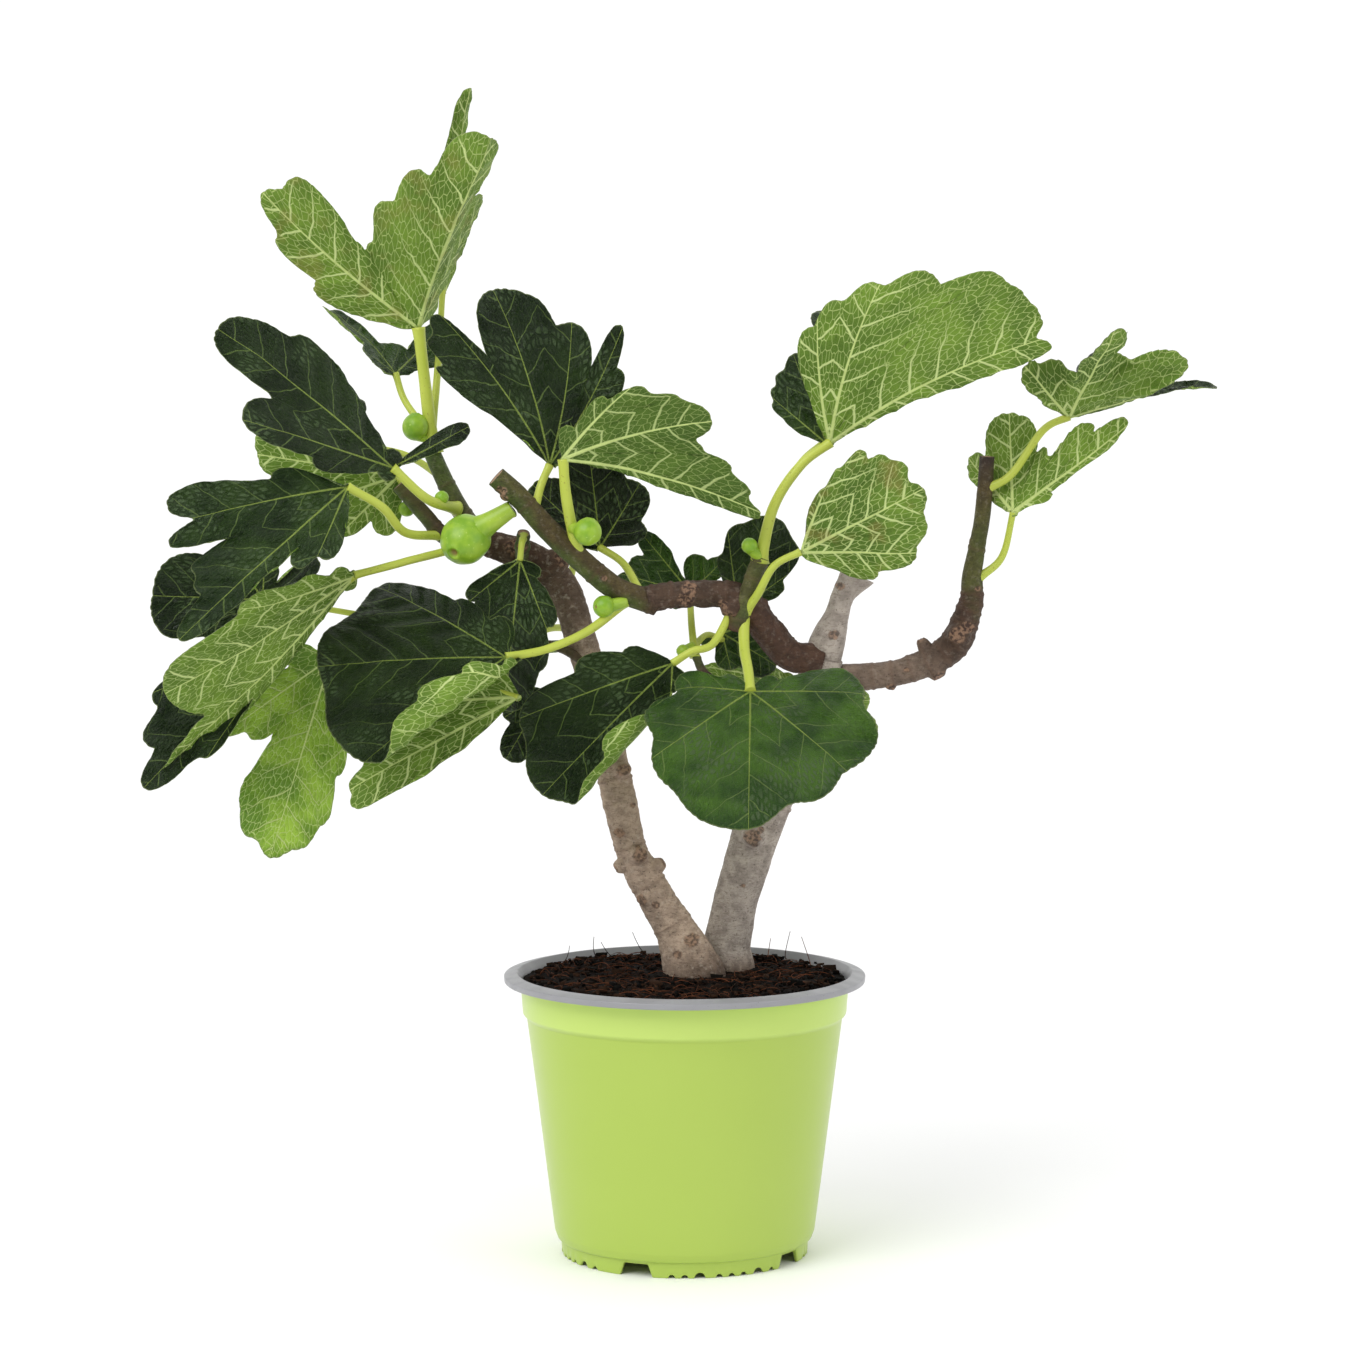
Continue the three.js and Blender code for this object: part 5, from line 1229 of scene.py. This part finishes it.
class Paint:
    """Lays out a material's nodes. An input may be a number, a colour or another node's output."""

    def __init__(self, name):
        self.material = bpy.data.materials.new(name)
        self.material.use_nodes = True
        self.tree = self.material.node_tree
        self.shader = self.tree.nodes["Principled BSDF"]

    def add(self, kind, inputs=None, **settings):
        node = self.tree.nodes.new("ShaderNode" + kind)
        for key, value in settings.items():
            setattr(node, key, value)
        self.feed(node, inputs or {})
        return node

    def feed(self, node, inputs):
        for key, value in inputs.items():
            if isinstance(value, bpy.types.NodeSocket):
                self.tree.links.new(value, node.inputs[key])
            elif isinstance(value, tuple) and len(value) == 3 and node.inputs[key].type == "RGBA":
                node.inputs[key].default_value = value + (1,)
            else:
                node.inputs[key].default_value = value

    def maths(self, operation, a, b=0.0):
        return self.add("Math", {0: a, 1: b}, operation=operation).outputs[0]

    def times(self, a, b):
        return self.maths("MULTIPLY", a, b)

    def stretched(self, vector, by):
        return self.add("VectorMath", {0: vector, 1: by}, operation="MULTIPLY").outputs[0]

    def cell_edges(self, vector, scale):
        """How far each point of a flat map lies from the nearest edge of its cell."""
        cells = {"voronoi_dimensions": "2D", "feature": "DISTANCE_TO_EDGE"}
        return self.add("TexVoronoi", {"Vector": vector, "Scale": scale}, **cells).outputs["Distance"]

    def coat(self, base, share, most, r, g, b):
        """base with a colour laid on it: most of it where share is 1."""
        return self.mix(self.times(share, most), base, srgb(r, g, b))

    def bump(self, height, strength, distance):
        return self.add("Bump", {"Height": height, "Strength": strength, "Distance": distance}).outputs[0]

    def ramp(self, value, low, high, to_low=0.0, to_high=1.0):
        """value run from low..high to to_low..to_high, smoothly, and held beyond."""
        inputs = {"Value": value, "From Min": low, "From Max": high, "To Min": to_low, "To Max": to_high}
        return self.add("MapRange", inputs, interpolation_type="SMOOTHSTEP").outputs[0]

    def mix(self, share, a, b, blend="MIX"):
        node = self.add("Mix", {0: share, 6: a, 7: b}, data_type="RGBA", blend_type=blend)
        return node.outputs[2]

    def value_of(self, name):
        return self.add("Attribute", attribute_name=name).outputs["Fac"]

    def colour_of(self, name):
        return self.add("Attribute", attribute_name=name).outputs["Color"]

    def place(self):
        return self.add("TexCoord").outputs["Object"]

    def noise(self, vector, size_mm, detail=3.0, rough=0.5):
        inputs = {"Vector": vector, "Scale": 1000.0 / size_mm, "Detail": detail, "Roughness": rough}
        return self.add("TexNoise", inputs).outputs["Fac"]

    def finish(self, **inputs):
        named = {key.replace("_", " "): value for key, value in inputs.items()}
        self.feed(self.shader, named)
        return self.material


def leaf_material(name, under):
    p = Paint(name)
    net = p.add("UVMap", uv_map="net").outputs[0]
    parts = p.add("SeparateXYZ", {0: net})
    measure, beside = parts.outputs[0], parts.outputs[1]
    gap, taper, inside, tone = (p.value_of(key) for key in ("gap", "taper", "inside", "tone"))
    place = p.place()
    wander = p.noise(place, 16, 2)
    # Main veins: as wide at the base as the stalk's ridge, and thin at their tips.
    width = p.ramp(taper, 0, 1, 1.15 if under else 0.66, 0.36 if under else 0.18)
    main = p.ramp(p.maths("DIVIDE", beside, width), 0.5, 1.15, 1, 0)
    # Branch veins, at a whole number of gaps.
    turned = p.maths("ADD", p.maths("DIVIDE", measure, gap), p.times(wander, 0.5))
    off = p.maths("SUBTRACT", p.maths("FRACT", p.maths("ADD", turned, 0.36)), 0.5)
    apart = p.times(p.times(p.maths("ABSOLUTE", off), gap), 0.72)
    thin = p.ramp(beside, 0, 30, 0.54 if under else 0.34, 0.24 if under else 0.16)
    branch = p.ramp(p.maths("DIVIDE", apart, thin), 0.55, 1.5, 1, 0)
    branch = p.times(branch, p.ramp(inside, 0.6, 4))
    branch = p.times(branch, p.ramp(beside, 8, 36, 1, 0.3))
    # The net between them.
    sway = p.add("TexNoise", {"Vector": place, "Scale": 190.0}).outputs["Color"]
    warp = p.add("VectorMath", {0: net, 1: sway}, operation="ADD").outputs[0]
    cells = p.cell_edges(p.stretched(warp, (0.19, 0.36, 1.0)), 1.0)
    mesh = p.ramp(cells, 0.02, 0.085, 1, 0)
    small = p.cell_edges(warp, 0.85)
    fine = p.ramp(small, 0.02, 0.16, 1, 0)
    blotch = p.noise(place, 26, 3)
    speck = p.noise(place, 1.6, 2)
    edge = p.ramp(inside, 0.25, 1.0, 1, 0)
    if under:
        base = p.mix(p.ramp(blotch, 0.3, 0.7), srgb(76, 106, 34), srgb(110, 142, 48))
        base = p.coat(base, tone, 0.5, 124, 158, 50)
        # Below a tone of 0 the underside is darkened: painted shade for leaves that lie in shadow.
        base = p.mix(p.ramp(tone, -1, 0, 0.75, 0), base, srgb(52, 78, 22))
        base = p.coat(base, fine, 0.22, 136, 158, 82)
        base = p.coat(base, p.ramp(speck, 0.45, 0.7), 0.3, 66, 94, 28)
        pale = srgb(188, 206, 126)
        # With a tone below 0 the pale net and branch veins show less, as part of the painted shade.
        base = p.mix(p.times(mesh, p.ramp(tone, -1, 0, 0.3, 0.72)), base, pale)
        base = p.mix(p.times(branch, p.ramp(tone, -1, 0, 0.6, 0.95)), base, srgb(200, 216, 142))
        base = p.coat(base, main, 0.95, 198, 214, 134)
        base = p.coat(base, edge, 0.5, 146, 166, 84)
        depth = p.maths("ADD", p.times(branch, 0.7), p.times(mesh, 0.5))
        depth = p.maths("ADD", depth, p.times(fine, 0.25))
        strength, rough, level = 0.6, 0.6, 0.2
    else:
        base = p.mix(p.ramp(blotch, 0.3, 0.72), srgb(24, 44, 13), srgb(43, 67, 21))
        bright = p.mix(p.ramp(blotch, 0.36, 0.66), srgb(98, 138, 30), srgb(158, 196, 62))
        middle = p.mix(p.ramp(blotch, 0.36, 0.66), srgb(48, 88, 20), srgb(92, 136, 42))
        base = p.mix(p.ramp(tone, 0.1, 0.5), base, middle)
        base = p.mix(p.ramp(tone, 0.5, 1.0), base, bright)
        # Below a tone of 0 the upper side is darkened: painted shade for leaves that lie in shadow.
        base = p.mix(p.ramp(tone, -1, 0, 0.6, 0), base, srgb(18, 30, 11))
        base = p.coat(base, p.ramp(speck, 0.5, 0.75), 0.2, 70, 92, 50)
        # The raised cells are painted paler in places: a painted sheen where their crests would catch the
        # light.
        painted_sheen = p.ramp(cells, 0.12, 0.3)
        painted_sheen = p.times(painted_sheen, p.ramp(p.noise(place, 30, 3), 0.46, 0.62))
        painted_sheen = p.times(painted_sheen, p.ramp(tone, 0.5, 1.0, 0.8, 0.0))
        base = p.mix(painted_sheen, base, srgb(96, 120, 76))
        net_shows = p.ramp(tone, 0.5, 1.0, 0.06, 0.6)
        vein_colour = p.mix(p.ramp(tone, 0.5, 1.0), srgb(140, 168, 88), srgb(196, 214, 132))
        base = p.mix(p.times(mesh, net_shows), base, vein_colour)
        base = p.mix(p.times(branch, p.ramp(tone, 0.1, 1.0, 0.55, 0.9)), base, vein_colour)
        main_colour = p.mix(p.ramp(tone, 0.5, 1.0), srgb(172, 196, 92), srgb(214, 228, 150))
        base = p.mix(p.times(main, 0.9), base, main_colour)
        base = p.coat(base, edge, 0.75, 140, 160, 92)
        raised = p.times(p.ramp(cells, 0.0, 0.4), 0.6)
        depth = p.maths("SUBTRACT", raised, p.times(branch, 0.8))
        depth = p.maths("ADD", depth, p.times(p.ramp(small, 0.0, 0.4), 0.5))
        depth = p.times(depth, p.ramp(tone, 0.5, 1.0, 1.0, 0.2))
        strength, rough, level = 1.0, 0.34, 0.42
    blush = p.times(p.value_of("blush"), p.ramp(p.noise(place, 16, 4), 0.52, 0.72))
    base = p.mix(blush, base, srgb(150, 118, 70))
    bump = p.bump(depth, strength, 0.0012 if under else 0.0034)
    return p.finish(Base_Color=base, Roughness=rough, Normal=bump, Specular_IOR_Level=level)


def stalk_material():
    p = Paint("stalk")
    place = p.place()
    base = p.mix(p.noise(place, 20, 2), srgb(160, 180, 60), srgb(190, 204, 84))
    base = p.coat(base, p.value_of("warm"), 0.75, 206, 186, 84)
    base = p.coat(base, p.value_of("red"), 0.5, 150, 104, 52)
    dots = p.ramp(p.noise(place, 1.4, 2), 0.66, 0.74)
    base = p.coat(base, dots, 0.55, 120, 96, 50)
    bump = p.bump(p.noise(place, 1.2, 2), 0.25, 0.0003)
    return p.finish(Base_Color=base, Roughness=0.42, Normal=bump, Specular_IOR_Level=0.4)


def fig_material():
    p = Paint("fig")
    place = p.place()
    base = p.mix(p.ramp(p.noise(place, 9, 3), 0.3, 0.7), srgb(114, 158, 30), srgb(152, 186, 50))
    dots = p.ramp(p.noise(place, 1.7, 1), 0.68, 0.76)
    base = p.coat(base, dots, 0.6, 178, 204, 106)
    base = p.coat(base, p.value_of("neck"), 0.6, 166, 186, 66)
    base = p.mix(p.ramp(p.value_of("mouth"), 0.25, 0.9), base, srgb(128, 110, 52))
    bump = p.bump(p.noise(place, 1.5, 2), 0.2, 0.0003)
    return p.finish(Base_Color=base, Roughness=0.4, Normal=bump, Specular_IOR_Level=0.45)


def wood_material(name, rough, gloss, pale):
    p = Paint(name)
    place = p.place()
    tint = p.colour_of("tint")
    scar, band, cut, core = (p.value_of(key) for key in ("scar", "band", "cut", "core"))
    shade = p.mix(0.75, tint, srgb(70, 54, 44), "MULTIPLY")
    base = p.mix(p.ramp(p.noise(place, 7, 5, 0.6), 0.36, 0.66, 0.0, 0.5), tint, shade)
    light = p.mix(0.5, tint, srgb(206, 194, 178))
    base = p.mix(p.ramp(p.noise(place, 3.2, 4, 0.65), 0.5, 0.72, 0.0, pale), base, light)
    wrinkles = p.noise(p.stretched(place, (1.0, 1.0, 3.2)), 3.4, 5, 0.7)
    base = p.mix(p.ramp(wrinkles, 0.5, 0.66, 0.0, 0.5), base, p.mix(0.8, tint, srgb(92, 74, 62), "MULTIPLY"))
    dots = p.ramp(p.noise(place, 1.1, 2), 0.63, 0.7)
    base = p.coat(base, dots, 0.6, 62, 46, 38)
    base = p.coat(base, band, 0.3, 92, 66, 50)
    patch = p.mix(p.ramp(p.noise(place, 2.0, 4), 0.4, 0.6), srgb(62, 44, 36), srgb(150, 118, 94))
    base = p.mix(p.ramp(scar, 0.1, 0.95, 0.0, 0.75), base, patch)
    # A cut end: pale wood with rings round a dark pith, inside a rim of bark.
    rings = p.add("CombineXYZ", {0: core}).outputs[0]
    grain = p.add("TexWave", {"Vector": rings, "Scale": 1.6, "Distortion": 0.0})
    wood = p.mix(p.ramp(grain.outputs["Fac"], 0.2, 0.9, 0.0, 0.4), srgb(176, 146, 116), srgb(128, 100, 78))
    wood = p.mix(p.ramp(core, 0.16, 0.3, 1, 0), wood, srgb(58, 40, 30))
    wood = p.mix(p.ramp(core, 0.78, 0.92), wood, srgb(70, 52, 40))
    wood = p.mix(p.ramp(p.noise(place, 3, 3), 0.4, 0.7, 0.0, 0.45), wood, srgb(104, 84, 70))
    base = p.mix(cut, base, wood)
    grit = p.maths("ADD", p.noise(place, 1.5, 4, 0.65), p.times(dots, -0.3))
    grit = p.maths("SUBTRACT", grit, p.times(wrinkles, 1.2))
    bump = p.bump(grit, 0.7, 0.0009)
    return p.finish(Base_Color=base, Roughness=rough, Normal=bump, Specular_IOR_Level=gloss)


def pot_materials():
    green = Paint("pot_green")
    place = green.place()
    base = green.mix(green.noise(place, 120, 2), srgb(162, 186, 76), srgb(170, 193, 86))
    # From 139 mm up, the band under the rim is painted lighter green: painted light on the band below the
    # rim.
    high = green.add("SeparateXYZ", {0: place}).outputs[2]
    base = green.mix(green.ramp(high, 0.139, 0.142), base, srgb(184, 208, 104))
    scuff = green.ramp(green.noise(place, 34, 6, 0.7), 0.5, 0.8, 0.3, 0.4)
    bump = green.bump(green.noise(place, 6, 2), 0.04, 0.0004)
    green.finish(Base_Color=base, Roughness=scuff, Normal=bump, Specular_IOR_Level=0.45)
    grey = Paint("pot_grey")
    place = grey.place()
    base = grey.mix(grey.noise(place, 20, 3), srgb(134, 134, 138), srgb(150, 150, 153))
    dirt = grey.ramp(grey.noise(place, 1.5, 2), 0.68, 0.75)
    base = grey.coat(base, dirt, 0.4, 60, 50, 44)
    scuff = grey.ramp(grey.noise(place, 12, 4), 0.3, 0.7, 0.3, 0.46)
    grey.finish(Base_Color=base, Roughness=scuff, Specular_IOR_Level=0.5)
    return [green.material, grey.material]


def soil_material():
    p = Paint("soil")
    place = p.place()
    kind = p.value_of("kind")
    base = p.mix(p.ramp(p.noise(place, 2.6, 5, 0.7), 0.35, 0.68), srgb(9, 7, 5), srgb(28, 20, 15))
    base = p.mix(p.ramp(p.noise(place, 9, 3), 0.5, 0.75, 0.0, 0.4), base, srgb(40, 28, 21))
    chip = p.mix(p.ramp(kind, 0.35, 0.9), srgb(10, 8, 6), srgb(56, 38, 27))
    base = p.mix(p.ramp(kind, 0.02, 0.06), base, chip)
    thread = p.mix(p.ramp(kind, 2.1, 2.9), srgb(112, 66, 44), srgb(44, 30, 23))
    base = p.mix(p.ramp(kind, 1.5, 1.9), base, thread)
    bump = p.bump(p.noise(place, 1.6, 5, 0.75), 0.9, 0.0012)
    return p.finish(Base_Color=base, Roughness=0.92, Normal=bump, Specular_IOR_Level=0.1)


# ---------------------------------------------------------------- putting it together


def dress(piece, materials, nodes=()):
    thing = piece.build(materials)
    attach(thing, "root")
    if nodes:
        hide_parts(*nodes)


def middle_of(name):
    low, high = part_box(name)
    return (low[0] + high[0]) / 2


leaf_top, leaf_under = leaf_material("leaf_top", False), leaf_material("leaf_under", True)
order = sorted(MASSES, key=middle_of)
stalks, figs = Piece("stalks"), Piece("figs")
leaf_count = 0
for n in range(PIECES_OF_LEAVES):
    piece = Piece(f"leaves_{n + 1}")
    mine = order[n::PIECES_OF_LEAVES]
    for name in mine:
        for row in MASSES[name]:
            leaf = {**LEAF_DEFAULTS, **row}
            leaf_count += 1
            grow_blade(piece, leaf, leaf_count)
            if "stalk" in leaf:
                grow_stalk(stalks, leaf["stalk"], leaf_count)
    dress(piece, [leaf_top, leaf_under], mine)
dress(stalks, [stalk_material()])
for n, fig in enumerate(FIGS):
    grow_fig(figs, *fig, n)
dress(figs, [fig_material()])

for title, names, slot, rough, gloss, pale in (
    ("trunks", TRUNKS, "bark", 0.82, 0.25, 0.6),
    ("boughs", BOUGHS, "brown_wood", 0.66, 0.3, 0.22),
    ("twigs", TWIGS, "green_wood", 0.5, 0.3, 0.15),
):
    piece = Piece(title)
    for n, name in enumerate(names):
        grow_limb(piece, name, n + len(title))
    dress(piece, [wood_material(title, rough, gloss, pale)], names)

pot, soil = Piece("pot_shell"), Piece("soil_top")
make_pot_wall(pot)
make_pot_floor(pot)
dress(pot, pot_materials(), ["pot"])
make_soil_top(soil)
rng = np.random.default_rng(7)
scatter_crumbs(soil, rng)
scatter_fibres(soil, rng)
dress(soil, [soil_material()], ["soil"])


# ---------------------------------------------------------------- the stage, the light and the camera

STAGE_RADIUS = 1.15  # metres


def stage_floor():
    mesh = bpy.data.meshes.new("floor")
    corners = around(STAGE_RADIUS, circle(96), 0).tolist()
    mesh.from_pydata(corners, [], [list(range(len(corners)))])
    thing = bpy.data.objects.new("floor", mesh)
    bpy.context.scene.collection.objects.link(thing)
    p = Paint("floor_white")
    mesh.materials.append(p.finish(Base_Color=(0.96, 0.96, 0.96), Roughness=0.7, Specular_IOR_Level=0.2))


def area_light(name, place, aim, size, power):
    light = bpy.data.lights.new(name, "AREA")
    light.shape = "DISK"
    light.size = size
    light.energy = power
    thing = bpy.data.objects.new(name, light)
    thing.location = place
    thing.rotation_euler = (Vector(aim) - Vector(place)).to_track_quat("-Z", "Y").to_euler()
    bpy.context.scene.collection.objects.link(thing)


stage_floor()
scene = bpy.context.scene
world = bpy.data.worlds.new("studio")
world.use_nodes = True
# The studio's far wall and its ceiling are bright; the room on the camera's side is dimmer.
links, nodes = world.node_tree.links, world.node_tree.nodes
parts = nodes.new("ShaderNodeSeparateXYZ")
links.new(nodes.new("ShaderNodeTexCoord").outputs["Generated"], parts.inputs[0])
dim = nodes.new("ShaderNodeMapRange")
dim.interpolation_type = "SMOOTHSTEP"
for key, value in {"From Min": -0.75, "From Max": 0.05, "To Min": 0.52, "To Max": 1.06}.items():
    dim.inputs[key].default_value = value
links.new(parts.outputs["Y"], dim.inputs["Value"])
links.new(dim.outputs[0], nodes["Background"].inputs["Strength"])
nodes["Background"].inputs["Color"].default_value = (1, 1, 1, 1)
scene.world = world
scene.view_settings.view_transform = "Standard"
scene.view_settings.look = "None"
area_light("key", (-1.5, -1.9, 2.3), (0, 0, 0.35), 2.2, 58)
area_light("fill", (2.2, -1.7, 1.2), (0, 0, 0.3), 1.6, 14)

lens = bpy.data.cameras.new("camera")
lens.lens = 111.35
lens.sensor_width = 36
lens.dof.use_dof = False
camera = bpy.data.objects.new("camera", lens)
camera.location = (-0.001, -2.43, 0.563)
camera.rotation_euler = (math.radians(90 - 5.4), 0, 0)
scene.collection.objects.link(camera)
scene.camera = camera

bpy.context.view_layer.update()
